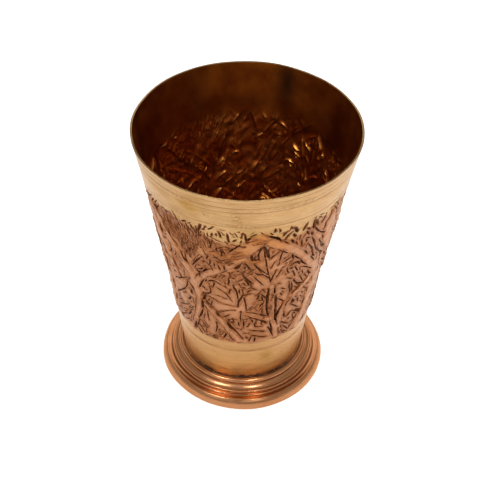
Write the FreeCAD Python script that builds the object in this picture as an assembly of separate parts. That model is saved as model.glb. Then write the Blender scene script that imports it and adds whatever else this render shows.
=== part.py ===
import FreeCAD, Part
import os

# A footed drinking cup in sheet copper: a tapered sleeve with a floor disc,
# standing on a stepped, spun foot. All sizes are in millimetres. +Z is up and
# the origin is the centre of the ring that the foot stands on.

# Whole cup
HEIGHT = 119.0
RIM_RADIUS = 42.0
SHEET = 0.7

# Sleeve: a cone whose side curves in slightly at mid height
SLEEVE_END_Z = 9.6
SLEEVE_END_RADIUS = 24.76
SLEEVE_SAG = 1.1
RIM_EDGE_ROUND = 0.25

# Lines scribed round the sleeve's outside
SCRIBED_HEIGHTS = (114.5, 112.3, 104.7, 34.0, 27.9)
SCRIBE_RADIUS = 0.35
SCRIBE_DEPTH = 0.12

# Floor: a disc set into the sleeve's lower end, level with it
FLOOR_SHEET = 0.8
FLOOR_FIT = 0.05
FLOOR_TOP_Z = SLEEVE_END_Z + FLOOR_SHEET

# Solder fillets
INNER_FILLET = 1.5
JOINT_FILLET_TOP_Z = 10.9

# Foot: one spun sheet with a turned-in ring below and a flat seat above
FOOT_BAND_RADIUS = 34.2
FOOT_BAND_FLARE = 0.2
FOOT_BAND_TOP_Z = 3.3
FOOT_TREAD_RADIUS = 33.4
FOOT_TREAD_ROUND = 0.8
FOOT_FLANGE_RADIUS = 31.0
FOOT_SHEET = 0.85
STEP_Z = 4.5
COVE_OUTER_RADIUS = 32.2
COVE_INNER_RADIUS = 29.3
COVE_TOP_Z = 6.5
GROOVE_RADIUS = 28.9
UPPER_BAND_TOP_RADIUS = 27.9
UPPER_BAND_TOP_Z = 8.6
BEAD_OUTER_RADIUS = 27.5
BEAD_TOP_RADIUS = 25.9
BEAD_TOP_Z = 9.95
SEAT_RADIUS = 25.3
SEAT_HOLE_RADIUS = 20.0


def point(radius, z):
    """A point of an outline, in the plane of X and Z."""
    return FreeCAD.Vector(radius, 0, z)


def line(start, end):
    return Part.LineSegment(start, end).toShape()


def arc(start, middle, end):
    return Part.Arc(start, middle, end).toShape()


def revolve(edges):
    """Turns a closed outline once round Z."""
    face = Part.Face(Part.Wire(edges))
    return face.revolve(FreeCAD.Vector(0, 0, 0), FreeCAD.Vector(0, 0, 1), 360)


def sleeve_radius(z):
    """The sleeve's outside radius at a height."""
    share = (z - SLEEVE_END_Z) / (HEIGHT - SLEEVE_END_Z)
    straight = SLEEVE_END_RADIUS + (RIM_RADIUS - SLEEVE_END_RADIUS) * share
    return straight - SLEEVE_SAG * 4 * share * (1 - share)


def sleeve_side(inset, low_z, high_z):
    """The sleeve's side between two heights, moved in by inset, as three points."""
    middle_z = (low_z + high_z) / 2
    low = point(sleeve_radius(low_z) - inset, low_z)
    middle = point(sleeve_radius(middle_z) - inset, middle_z)
    high = point(sleeve_radius(high_z) - inset, high_z)
    return low, middle, high


def scribed_line(z):
    """The ring that cuts one shallow line round the sleeve."""
    centre = sleeve_radius(z) + SCRIBE_RADIUS - SCRIBE_DEPTH
    return Part.makeTorus(centre, SCRIBE_RADIUS, FreeCAD.Vector(0, 0, z))


def make_cup_wall():
    edge_z = HEIGHT - RIM_EDGE_ROUND
    low, middle, high = sleeve_side(0, SLEEVE_END_Z, edge_z)
    inner_low, inner_middle, inner_high = sleeve_side(SHEET, SLEEVE_END_Z, edge_z)
    crest = point((high.x + inner_high.x) / 2, HEIGHT)
    wall = revolve([
        arc(low, middle, high),
        arc(high, crest, inner_high),
        arc(inner_high, inner_middle, inner_low),
        line(inner_low, low),
    ])
    for z in SCRIBED_HEIGHTS:
        wall = wall.cut(scribed_line(z))
    return wall


def make_cup_floor():
    low, _, high = sleeve_side(SHEET + FLOOR_FIT, SLEEVE_END_Z, FLOOR_TOP_Z)
    top_centre = point(0, FLOOR_TOP_Z)
    under_centre = point(0, SLEEVE_END_Z)
    return revolve([
        line(low, high),
        line(high, top_centre),
        line(top_centre, under_centre),
        line(under_centre, low),
    ])


def fillet_ring(corner, wall_top, outer_toe):
    """A solder ring in the corner between a wall and a ledge, with a hollow face."""
    hollow = 0.3
    middle = FreeCAD.Vector(
        hollow * corner.x + (1 - hollow) * (wall_top.x + outer_toe.x) / 2,
        0,
        hollow * corner.z + (1 - hollow) * (wall_top.z + outer_toe.z) / 2,
    )
    return revolve([
        line(corner, wall_top),
        arc(wall_top, middle, outer_toe),
        line(outer_toe, corner),
    ])


def make_floor_solder():
    top_z = FLOOR_TOP_Z + INNER_FILLET
    corner = point(sleeve_radius(FLOOR_TOP_Z) - SHEET, FLOOR_TOP_Z)
    wall_top = point(sleeve_radius(top_z) - SHEET, top_z)
    toe = point(corner.x - INNER_FILLET, FLOOR_TOP_Z)
    return fillet_ring(corner, wall_top, toe)


def make_foot_solder():
    corner = point(sleeve_radius(SLEEVE_END_Z), SLEEVE_END_Z)
    wall_top = point(sleeve_radius(JOINT_FILLET_TOP_Z), JOINT_FILLET_TOP_Z)
    toe = point(SEAT_RADIUS, SLEEVE_END_Z)
    return fillet_ring(corner, wall_top, toe)


def foot_outside():
    """The foot's outer side, from its tread up to the seat."""
    tread = point(FOOT_TREAD_RADIUS, 0)
    tread_middle = point(FOOT_BAND_RADIUS - 0.3 * FOOT_TREAD_ROUND, 0.3 * FOOT_TREAD_ROUND)
    band_low = point(FOOT_BAND_RADIUS, FOOT_TREAD_ROUND)
    band_high = point(FOOT_BAND_RADIUS + FOOT_BAND_FLARE, FOOT_BAND_TOP_Z)
    shoulder_middle = point(FOOT_BAND_RADIUS - 0.1, STEP_Z - 0.35)
    shoulder_end = point(FOOT_TREAD_RADIUS - 0.2, STEP_Z)
    cove_low = point(COVE_OUTER_RADIUS, STEP_Z)
    cove_middle = point(COVE_INNER_RADIUS + 0.8, STEP_Z + 0.6)
    cove_high = point(COVE_INNER_RADIUS, COVE_TOP_Z)
    groove = point(GROOVE_RADIUS, COVE_TOP_Z)
    upper_middle = point(GROOVE_RADIUS - 0.1, COVE_TOP_Z + 1.3)
    upper_high = point(UPPER_BAND_TOP_RADIUS, UPPER_BAND_TOP_Z)
    bead_low = point(BEAD_OUTER_RADIUS, UPPER_BAND_TOP_Z)
    bead_middle = point(BEAD_OUTER_RADIUS - 0.5, BEAD_TOP_Z - 0.35)
    bead_high = point(BEAD_TOP_RADIUS, BEAD_TOP_Z)
    seat_outer = point(SEAT_RADIUS, SLEEVE_END_Z)
    seat_inner = point(SEAT_HOLE_RADIUS, SLEEVE_END_Z)
    return [
        arc(tread, tread_middle, band_low),
        line(band_low, band_high),
        arc(band_high, shoulder_middle, shoulder_end),
        line(shoulder_end, cove_low),
        arc(cove_low, cove_middle, cove_high),
        line(cove_high, groove),
        arc(groove, upper_middle, upper_high),
        line(upper_high, bead_low),
        arc(bead_low, bead_middle, bead_high),
        line(bead_high, seat_outer),
        line(seat_outer, seat_inner),
    ]


def foot_inside():
    """The foot's inner side, one sheet thickness behind the outer, from seat to tread."""
    seat_under_z = SLEEVE_END_Z - FOOT_SHEET
    bead_radius = BEAD_OUTER_RADIUS - FOOT_SHEET
    band_radius = GROOVE_RADIUS - FOOT_SHEET
    step_z = STEP_Z - FOOT_SHEET
    skirt_radius = FOOT_BAND_RADIUS - FOOT_SHEET
    points = [
        point(SEAT_HOLE_RADIUS, SLEEVE_END_Z),
        point(SEAT_HOLE_RADIUS, seat_under_z),
        point(bead_radius - 0.8, seat_under_z),
        point(bead_radius, UPPER_BAND_TOP_Z - FOOT_SHEET),
        point(band_radius - 0.6, UPPER_BAND_TOP_Z - FOOT_SHEET),
        point(band_radius, COVE_TOP_Z + 0.6),
        point(band_radius, COVE_TOP_Z - 0.5),
        point(COVE_INNER_RADIUS, STEP_Z),
        point(COVE_OUTER_RADIUS - 0.9, step_z),
        point(skirt_radius - 0.4, step_z),
        point(skirt_radius, step_z - 0.5),
        point(skirt_radius, FOOT_SHEET),
        point(FOOT_FLANGE_RADIUS, FOOT_SHEET),
        point(FOOT_FLANGE_RADIUS, 0),
        point(FOOT_TREAD_RADIUS, 0),
    ]
    return [line(start, end) for start, end in zip(points, points[1:])]


def make_foot():
    return revolve(foot_outside() + foot_inside())


PARTS = {
    "cup_wall": make_cup_wall,
    "cup_floor": make_cup_floor,
    "floor_solder": make_floor_solder,
    "foot": make_foot,
    "foot_solder": make_foot_solder,
}

os.makedirs("parts", exist_ok=True)
for name, make in PARTS.items():
    shape = make()
    print(name, "valid", shape.isValid(), "solids", len(shape.Solids), "mm3", round(shape.Volume, 1))
    shape.exportStep("parts/" + name + ".step")
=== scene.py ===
import math

import bmesh
import bpy
import numpy as np
from mathutils import Matrix, Vector
from mathutils.geometry import delaunay_2d_cdt


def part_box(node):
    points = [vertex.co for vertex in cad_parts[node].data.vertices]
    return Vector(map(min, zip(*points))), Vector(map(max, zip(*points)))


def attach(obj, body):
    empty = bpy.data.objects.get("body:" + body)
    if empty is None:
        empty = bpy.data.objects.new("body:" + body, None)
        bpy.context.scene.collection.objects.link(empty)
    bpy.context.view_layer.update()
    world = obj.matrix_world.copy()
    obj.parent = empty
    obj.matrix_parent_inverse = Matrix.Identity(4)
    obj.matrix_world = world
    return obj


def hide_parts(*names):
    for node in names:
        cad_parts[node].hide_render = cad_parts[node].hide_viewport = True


# A footed copper cup: a chased sleeve, a floor disc, a spun foot and two solder
# joints. Design sizes are in millimetres and become metres when a mesh is made.
# A place on the sleeve is (angle, height): degrees from -Y towards +X, and mm.

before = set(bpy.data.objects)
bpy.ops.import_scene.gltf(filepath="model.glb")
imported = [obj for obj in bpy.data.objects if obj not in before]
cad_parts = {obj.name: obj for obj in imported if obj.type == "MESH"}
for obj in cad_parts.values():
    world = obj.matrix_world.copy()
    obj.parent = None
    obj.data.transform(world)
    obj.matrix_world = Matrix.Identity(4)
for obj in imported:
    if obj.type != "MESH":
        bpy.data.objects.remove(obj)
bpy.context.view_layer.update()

MM = 0.001
SEED = 11

# ---------------------------------------------------------------- the frame's sizes

wall_low, wall_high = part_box("cup_wall")
SLEEVE_LOW = wall_low.z / MM
SLEEVE_TOP = wall_high.z / MM
RIM_RADIUS = wall_high.x / MM
_, floor_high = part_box("cup_floor")
FLOOR_TOP = floor_high.z / MM
FLOOR_RADIUS = floor_high.x / MM
_, foot_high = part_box("foot")
FOOT_RADIUS = foot_high.x / MM
FOOT_TOP = foot_high.z / MM
_, solder_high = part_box("foot_solder")
JOINT_TOP = solder_high.z / MM
_, fillet_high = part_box("floor_solder")
FILLET_TOP = fillet_high.z / MM

SHEET = 0.7
SLEEVE_SAG = 1.1
FLOOR_LEAN = 0.07  # how much narrower the sleeve is at its end than round the floor
SLEEVE_LOW_RADIUS = FLOOR_RADIUS + SHEET - FLOOR_LEAN

# ---------------------------------------------------------------- the chased design

PATTERN_RADIUS = 33.0  # the sleeve's mean radius, where design lengths are true
HALF_TURN = math.pi * PATTERN_RADIUS
BAND_LOW = 34.0
BAND_HIGH = 103.0
REPEAT_DEGREES = 120.0  # the design goes three times round the cup
COPIES = (-1, 0, 1)
SCRIBED = (116.9, 114.5, 112.3, 104.7, 27.9)

# Raised branches: angle, height and width along each centre line.
BRANCHES = (
    (
        (8, 98.4, 5.2), (3, 94, 6.4), (-3, 89, 6.8), (-9, 83.6, 5.0), (-16, 79, 3.6),
        (-24, 74.6, 3.1), (-29, 70.5, 3.0), (-33, 65, 3.2),
    ),
    (
        (8, 98.4, 5.2), (15, 95.6, 4.6), (22, 92, 3.7), (29, 88, 3.3), (36, 83, 3.2),
        (42, 78, 3.2), (48, 72.4, 3.4), (52, 66.5, 3.4),
    ),
    (
        (51, 66, 3.4), (45, 63, 3.0), (39, 60.6, 2.6), (33, 58, 2.6), (29, 53, 2.8), (27.5, 46, 3),
        (27.5, 35.6, 3.2),
    ),
    ((18.6, 70, 2.1), (18.9, 64, 2.3), (20, 57, 2.5), (22, 49, 2.5), (25, 42, 2.6), (27.5, 35.6, 2.8)),
    ((-61, 99, 2.8), (-54, 92.5, 3.6), (-48, 85.5, 3.4), (-42, 79, 3.2), (-37, 73, 3.6), (-33, 66, 4.0)),
    (
        (-33, 66, 4.0), (-31.8, 59, 3.0), (-33.4, 51.5, 3.2), (-36.4, 45.5, 3.2), (-39.6, 40, 3.2),
        (-43, 35, 3.2),
    ),
    ((-27, 56, 2.0), (-20, 50.5, 2.8), (-13, 45, 3.2), (-7, 39.6, 3.2), (-2.5, 35.2, 3.0)),
    ((52, 66.5, 3.4), (55, 58, 4.5), (54.5, 50, 5.0), (52, 43, 4.5), (48, 35.6, 4.0)),
    ((59, 99, 5.0), (56, 92, 6.0), (58, 84, 6.0), (63, 77, 4.0), (68, 70, 3.0), (72, 62, 3.0)),
)

# Chisel cuts: width and, for each cut, the points that it passes through.
UPPER_LEAF = (
    (0.55, ((10.5, 94), (12.5, 86), (14.5, 79), (17.5, 71.5))),
    (0.5, ((5, 84.5), (9, 80.5), (13, 76.5), (16, 75))),
    (0.5, ((6, 77), (9.5, 73.5), (13, 70.5))),
    (0.5, ((19, 84.8), (17.3, 83), (16, 80.5))),
    (0.55, ((22, 91), (21.5, 86.5), (20.6, 81.5))),
    (0.6, ((23.5, 78.5), (21.8, 76), (20.5, 73.5))),
    (0.6, ((19.6, 79), (18.5, 76), (17.6, 73))),
    (0.6, ((10.5, 94.5), (12.5, 90), (14.6, 86.3))),
    (0.6, ((14.6, 86.2), (17.5, 88), (20, 89.5))),
    (0.55, ((13.6, 92.3), (13.2, 89.5), (14.2, 87.4))),
    (0.5, ((16.5, 90.5), (15.6, 88.7))),
    (0.5, ((11, 94.8), (15, 92.6), (19, 91.2))),
    (0.5, ((9.8, 93.5), (8.2, 90.5), (8, 88), (9, 85.5))),
    (0.55, ((4.5, 90), (4, 87.5), (5, 85.6))),
    (0.5, ((6.5, 88.6), (5.6, 86), (7.8, 85.4))),
    (0.6, ((0, 86), (1.8, 83.5), (3.8, 81.2))),
    (0.55, ((1, 82.5), (0.2, 80.5))),
    (0.55, ((-5.5, 80.8), (-3, 82), (-1.6, 84.6))),
    (0.5, ((-4.4, 80.4), (-2, 78.8), (-0.4, 79.4))),
    (0.6, ((-0.6, 78), (1, 75.6), (3.6, 73.6), (5.4, 73))),
    (0.55, ((6.4, 79), (9, 77.4), (12, 76.8))),
    (0.6, ((23.5, 84.6), (26.6, 85.6), (28.2, 87))),
    (0.6, ((22.6, 82), (25, 82.8), (27.6, 84.2))),
    (0.55, ((28.6, 86.2), (29.4, 84), (30.6, 82.2))),
    (0.5, ((25, 81.2), (27.5, 82))),
    (0.8, ((28.2, 78.6), (31, 79.8), (34.6, 79.6), (37, 77.2))),
    (0.8, ((28.6, 77.4), (30, 77), (31.6, 78.2))),
    (0.6, ((27, 78.6), (27.6, 76), (29.2, 74.6))),
    (0.6, ((35.8, 80.6), (37.4, 78.6), (39.4, 76.6))),
    (0.55, ((32.6, 77.4), (34.6, 75.4), (36.2, 73.4))),
    (0.55, ((31.4, 75.6), (33.4, 73), (34.6, 70.6))),
    (0.5, ((38.4, 75.4), (41.5, 73.6), (45.5, 72.6), (48.6, 70.6))),
    (0.5, ((37.2, 72.6), (38.6, 70.4))),
    (0.5, ((39.6, 72.8), (41.4, 70))),
)

CENTRE_LEAF = (
    (0.5, ((-7, 61), (-9.5, 64.2), (-13, 66.4), (-17.6, 68.4))),
    (0.55, ((-11, 62), (-15, 63), (-20, 63.2))),
    (0.6, ((-4.6, 58), (-11, 58.4), (-18, 59.4), (-25, 61.6))),
    (0.45, ((-5, 55.5), (-10, 55), (-16, 53.6))),
    (0.5, ((-9, 52.6), (-11.4, 51.4), (-14.4, 50))),
    (0.6, ((-13, 51.6), (-17, 52.6), (-20, 54.2), (-24, 55.4))),
    (0.6, ((-27.4, 61.6), (-24.6, 63.8), (-20, 64.6), (-22.4, 67.4))),
    (0.6, ((-27.4, 60), (-26.4, 57.4), (-23.4, 56), (-20.6, 55))),
    (0.6, ((-21.4, 58.4), (-22.6, 56.4))),
    (0.55, ((-22.6, 60.2), (-25, 58))),
    (0.6, ((-5, 70), (-3.6, 65), (-3, 61), (-3.4, 58))),
    (0.6, ((0, 65.4), (-1.6, 63), (-2.8, 60.8))),
    (0.6, ((-2.4, 69.4), (-2.8, 67.4), (-2.2, 65.6))),
    (0.5, ((0.6, 64), (1.6, 60.4), (2.4, 56.6))),
    (0.5, ((-1, 55), (-1.6, 51.5), (-1, 48))),
    (0.7, ((-9.6, 75.6), (-8.8, 73), (-9.8, 70.8))),
    (0.6, ((-12.6, 73.4), (-11.2, 71.2))),
    (0.6, ((-6.4, 72.4), (-6, 70), (-4.6, 67.4))),
    (0.6, ((-3.2, 73.2), (-1.8, 71))),
    (0.6, ((-11, 75), (-7, 75.6), (-4, 75))),
    (0.55, ((-23.6, 70.4), (-20, 72), (-16, 71), (-13, 69.6))),
    (0.6, ((-12, 70), (-10.6, 68.8))),
    (0.6, ((-2.8, 70.4), (0, 69.6), (1.8, 70.4))),
    (0.55, ((-8, 68.6), (-9.4, 66))),
)

LOWER_LEAF = (
    (0.6, ((1, 54.2), (6, 54.2), (11, 53), (15, 51.2), (17.6, 50.6))),
    (0.6, ((0.6, 49.6), (5, 50.5), (10, 50), (15, 48), (19, 46.4))),
    (0.7, ((5.6, 42.6), (11, 42), (15, 41), (18.4, 40.2))),
    (0.7, ((6, 39.6), (10, 38.4), (15.6, 37.4), (21, 36.8))),
    (0.6, ((20, 43), (22.4, 40.2), (25, 36.4))),
    (0.6, ((1.4, 48), (4, 49.2))),
    (0.6, ((5.4, 47.4), (4.2, 45.2))),
    (0.65, ((6.6, 49.6), (7.8, 47.2))),
    (0.65, ((10.2, 49), (9.8, 46.4))),
    (0.65, ((13.8, 48.4), (14.2, 45.6))),
    (0.6, ((11.4, 49.4), (13, 48.8))),
    (0.6, ((9, 47), (8.4, 45), (11, 44.6), (15.6, 44.4))),
    (0.6, ((0, 50), (1, 47.6), (0.6, 44.6))),
    (0.6, ((-3, 48.2), (-2.6, 45.4))),
    (0.6, ((-4.4, 43.8), (-1.6, 43.2), (0.4, 43.8))),
    (0.6, ((-6.6, 42.8), (-4, 41.4), (-1.6, 38.4), (0.8, 36.6))),
    (0.55, ((0.6, 41.4), (3, 40.4), (5.6, 40.8))),
    (0.6, ((6.8, 38), (5.4, 35.4))),
    (0.65, ((10.2, 38), (9.8, 34.8))),
    (0.5, ((2.4, 38.6), (4, 37.2))),
    (0.5, ((-12.6, 48.8), (-8, 49.2), (-4.4, 49.4))),
    (0.5, ((-12, 47.6), (-9, 44.6), (-6, 42.6))),
    (0.5, ((-8.4, 47.4), (-5.8, 46))),
    (0.5, ((-10.6, 49.6), (-9.8, 47.4))),
    (0.5, ((-7, 49.8), (-6.6, 47.6))),
)

LEFT_CELLS = (
    (0.6, ((-26.6, 51), (-26.4, 48), (-25.6, 45))),
    (0.5, ((-20, 45.6), (-19.4, 43), (-21.4, 38.6))),
    (0.7, ((-12.4, 39.4), (-13.6, 37.4), (-15.4, 35.6))),
    (0.7, ((-36, 38.8), (-33, 37.2), (-30.4, 35.2))),
    (0.6, ((-38.4, 36.6), (-36, 34.8), (-34.4, 33.6))),
    (0.6, ((-33.4, 43), (-30.6, 41), (-28.4, 39.4))),
    (0.55, ((-31.6, 43.6), (-29, 42), (-27, 40.6))),
    (0.5, ((-32.8, 41.6), (-30.4, 40))),
    (0.6, ((-41, 66), (-48, 63.4), (-55, 60.4))),
    (0.6, ((-40.6, 65), (-41.6, 62), (-44.4, 58.4), (-50, 55), (-57, 51))),
    (0.6, ((-38, 61), (-36.8, 59.2), (-38.6, 57.6), (-40.6, 58.6), (-40, 60.6))),
    (0.5, ((-45, 55.6), (-47.4, 54.4), (-51, 53.4))),
    (0.65, ((-40.4, 55), (-42, 53), (-44.4, 52))),
    (0.55, ((-42.4, 49.6), (-48, 47), (-53, 45), (-59, 43))),
    (0.6, ((-43.6, 44.4), (-45.4, 42.4), (-48.4, 40.6))),
    (0.5, ((-46.4, 44), (-50, 43.4), (-54, 42))),
    (0.5, ((-50, 40.6), (-54, 38.6), (-57, 38))),
    (0.5, ((-47, 39), (-50, 37), (-54, 35.6))),
    (0.5, ((-49.4, 84.4), (-46.6, 81), (-43.6, 79), (-40, 77))),
    (0.6, ((-45.4, 74.2), (-41.4, 72.6), (-38, 70.8), (-36, 68))),
    (0.5, ((-37.4, 83.4), (-37.4, 80), (-36.4, 76.6))),
    (0.6, ((-25, 84.4), (-28, 81.4), (-31, 79.4), (-33, 77))),
    (0.6, ((-31, 76.2), (-28.6, 74), (-27, 72.2))),
    (0.6, ((-28.6, 78.8), (-26, 78.6))),
    (0.65, ((-27.6, 76.2), (-25, 78))),
    (0.6, ((-24.4, 78.8), (-22.6, 77))),
    (0.5, ((-29.4, 76), (-26.4, 77))),
    (0.65, ((-20.8, 86.6), (-22.4, 83.4))),
    (0.65, ((-19.6, 84), (-20.4, 81))),
    (0.6, ((-18, 83), (-17, 80.4))),
    (0.55, ((-15, 82.4), (-13.4, 79.6))),
    (0.5, ((-11.4, 83), (-11.2, 80))),
    (0.55, ((-24.4, 82.6), (-21, 81), (-18.4, 79))),
    (0.5, ((-52, 80.4), (-50.4, 77), (-53, 76))),
    (0.5, ((-46.4, 78), (-48.6, 75.6))),
    (0.5, ((-44, 79.6), (-44.6, 77))),
    (0.5, ((-56.6, 82), (-53, 83), (-50.6, 80.6))),
    (0.5, ((-53.4, 88.6), (-52.4, 85.4), (-54.6, 84))),
    (0.5, ((-57.6, 87), (-55, 84.6))),
    (0.5, ((-58, 69.6), (-54, 66.6), (-50, 65.4))),
    (0.5, ((-56, 65), (-53.6, 63))),
    (0.5, ((-53, 69.6), (-50.4, 67.6))),
    (0.5, ((-49, 71.6), (-46, 69.4), (-43, 68.4))),
    (0.5, ((-58.6, 76.6), (-55.6, 73.4), (-51, 72))),
)

MIDDLE_CELLS = (
    (0.6, ((-18.4, 93.6), (-18.6, 91.2))),
    (0.6, ((-15.4, 92.2), (-15.6, 89.8))),
    (0.6, ((-12, 91.4), (-10.4, 88.6))),
    (0.55, ((-16.4, 94), (-13, 94.4))),
    (0.55, ((-11.4, 93.4), (-8, 92.6))),
    (0.5, ((-14, 92), (-12, 89.4), (-12.6, 87.8))),
    (0.5, ((-19, 87.6), (-15, 86), (-12.6, 84.2))),
    (0.5, ((-17.6, 85), (-14.4, 83.6))),
    (0.6, ((2, 68.8), (4.6, 69.8), (8.8, 68.4))),
    (0.6, ((2.8, 67), (4.4, 68.6))),
    (0.6, ((6.4, 66), (4.6, 66.4), (1.4, 65.2))),
    (0.6, ((8.4, 64.6), (11, 67), (13, 68))),
    (0.7, ((9.6, 62.6), (10.4, 65.6))),
    (0.6, ((11.4, 66), (13.4, 64), (15.8, 62))),
    (0.6, ((12.4, 63.6), (13.6, 61.6))),
    (0.6, ((12.6, 68), (14.6, 66))),
    (0.6, ((8, 61), (11, 61.6), (14.6, 61))),
    (0.55, ((5.4, 59.8), (9.4, 59.8))),
    (0.6, ((14.6, 60), (12.4, 59), (11.4, 57))),
    (0.6, ((14.8, 57.6), (12.8, 56.6), (11, 54.4))),
    (0.5, ((14.4, 55.6), (12.6, 54))),
    (0.6, ((16.2, 68.4), (16.6, 64), (16.4, 59), (17.2, 54.6), (18.8, 50.6))),
    (0.9, ((22.4, 63), (23, 59.6), (23.6, 54), (24, 50), (24.8, 46.6))),
    (0.8, ((20.4, 69.6), (20.6, 67), (21.4, 64))),
    (0.6, ((21.6, 69.8), (23.6, 70.4), (25, 69.4))),
    (0.5, ((25, 67.2), (27.4, 65.6), (30, 65))),
    (0.6, ((25.6, 63.4), (27.4, 61.6))),
    (0.5, ((26.4, 64.8), (28.4, 63))),
    (0.5, ((23.8, 61), (27, 59), (29.6, 57.4))),
    (0.7, ((30.6, 69.6), (31.6, 66), (33.4, 61.6))),
    (0.7, ((32.6, 68.4), (34, 65.4), (34.4, 62))),
    (0.7, ((33.6, 69.6), (37.4, 66), (41, 64.4), (44, 64))),
    (0.6, ((36.4, 64.6), (38.4, 62.6))),
    (0.6, ((35.6, 67.4), (39, 64.6))),
    (0.6, ((38.6, 70), (42, 66.4), (43.6, 65))),
    (0.6, ((43, 69), (46, 66.6))),
    (0.5, ((45.4, 70.4), (49, 67))),
    (0.55, ((34, 60.2), (39, 62.4), (45, 65.2), (50, 68.2))),
    (0.5, ((46, 68.8), (50.6, 66.6))),
)

RIGHT_CELLS = (
    (0.7, ((35, 59.2), (32, 56.6), (30.4, 53.6), (31.4, 49.6), (33, 46.4))),
    (1.2, ((36.6, 55.2), (38.6, 53.8), (40, 55))),
    (0.9, ((41, 56), (39.8, 57.2))),
    (0.9, ((43.4, 54), (44, 52.2))),
    (0.6, ((35.6, 54), (39.6, 51.6), (43.6, 49), (46.6, 47.4))),
    (0.7, ((35.4, 47), (37.6, 48), (41, 47.8))),
    (0.6, ((41, 47.8), (45.4, 46.8), (49, 45))),
    (0.6, ((36.4, 44.6), (37.4, 43), (38.4, 44.4))),
    (0.65, ((41, 45.8), (41.8, 43.4), (44, 41))),
    (0.65, ((41.8, 46.4), (45, 43.8))),
    (0.6, ((30.4, 44.4), (33.4, 42.4), (37.4, 40.8), (41, 40.2), (45, 42.6), (48.4, 45.6))),
    (0.7, ((30.6, 41.4), (32, 39.4))),
    (0.6, ((33.6, 40.4), (36.4, 38.4), (39.4, 36.2))),
    (0.6, ((40.6, 38.8), (40, 36.8))),
    (0.5, ((44.6, 55.4), (47.6, 53.6))),
    (0.5, ((44.4, 58), (48, 56))),
    (0.5, ((46, 51.6), (49, 50))),
    (0.5, ((45.6, 60.4), (49.4, 58.2))),
    (0.6, ((44.6, 60.6), (48.4, 61.4), (50.8, 60.4))),
    (0.85, ((33.4, 92), (34.2, 89))),
    (0.85, ((36.6, 91.6), (37.6, 89.4))),
    (0.6, ((32.4, 93), (35, 94.6), (38, 95.6))),
    (0.85, ((39.2, 94.6), (41.4, 91.6))),
    (0.6, ((35.4, 96.4), (37.8, 93.6))),
    (0.6, ((41, 96.6), (45, 92.6), (50, 89.6), (53.4, 88.6))),
    (0.6, ((41.6, 90.4), (45, 85.6), (48.6, 81.6), (53.6, 77.4), (58, 73.6))),
    (0.6, ((41, 86.6), (44, 83.6), (46.4, 79), (49, 77))),
    (0.5, ((43, 88.4), (45, 86))),
    (1.0, ((46, 80.6), (47.4, 78.6))),
    (0.5, ((50, 78.6), (52.4, 76.6))),
    (0.5, ((48.6, 86.6), (52.4, 82.4), (55.6, 78.6))),
    (0.5, ((55, 75.6), (58, 70.6))),
    (0.9, ((56, 72.6), (58.6, 69.6))),
    (0.5, ((59.4, 68), (60.4, 63.6))),
    (0.5, ((51.6, 64), (53.6, 60.4))),
)

TOP_EDGE = (
    (0.6, ((-40, 103.6), (-38.4, 102), (-36.8, 100.4))),
    (0.55, ((-34.2, 101), (-30.4, 102.4))),
    (0.6, ((-29, 101), (-27, 98.6))),
    (0.65, ((-22.8, 103.2), (-23.8, 101), (-25.4, 98.4))),
    (0.55, ((-15.8, 103.4), (-17.6, 102.2), (-19.6, 101))),
    (0.55, ((-16.6, 100.4), (-17.6, 98))),
    (0.5, ((-15, 99.8), (-14.6, 97.8))),
    (0.65, ((-13.6, 101.2), (-12.2, 98.4))),
    (0.55, ((-9, 101.6), (-8.6, 98.6), (-8, 96))),
    (0.55, ((-4.6, 102.2), (-1, 102.4))),
    (0.45, ((-4, 99.6), (-7.4, 99))),
    (0.6, ((-3.6, 98.6), (-5.2, 97.4), (-6.6, 96.2))),
    (0.55, ((-1.4, 98.2), (-2, 96))),
    (0.55, ((0, 101.4), (0.6, 99), (1.2, 97))),
    (0.5, ((-19, 98), (-15.4, 96.6), (-11, 95.6))),
    (0.5, ((-8, 95.4), (-4.6, 94.6), (0.4, 94.8))),
    (0.8, ((15.6, 103.6), (15.8, 101))),
    (0.6, ((17.4, 102.8), (18.6, 102.2), (18, 100))),
    (0.5, ((13.4, 100.8), (14.8, 99.8))),
    (0.9, ((22.2, 100.2), (20.6, 98))),
    (1.1, ((26, 99.4), (24, 97.6), (22, 95.6))),
    (1.0, ((26.8, 101.4), (28, 99.6), (29.4, 97.6))),
    (0.95, ((26.8, 97.6), (28, 96.2), (29.4, 94.8))),
    (0.85, ((25.6, 95), (27, 93.6), (28.4, 92.2))),
    (0.5, ((17, 98.6), (19, 96.6), (20, 95.4))),
    (0.7, ((34.6, 102), (33, 99.6), (32.4, 97))),
    (0.9, ((34.8, 98.4), (37.4, 96.6))),
    (0.7, ((39.4, 102), (39.8, 98.6), (40.4, 95.6))),
    (0.9, ((41.4, 100.6), (42, 98), (43.4, 96.4))),
    (0.5, ((42, 102.4), (45.4, 101.4))),
    (0.6, ((47.4, 101.4), (49, 99.4))),
    (0.6, ((48.6, 98.6), (46, 96.4))),
    (0.5, ((54, 100.4), (52.4, 97.6))),
    (0.5, ((55, 100.8), (58, 98))),
    (0.5, ((-46, 102), (-50, 101.2))),
    (0.5, ((-57, 102), (-59, 99.6))),
    (0.5, ((-52, 100.6), (-56, 97.4))),
)

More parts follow.
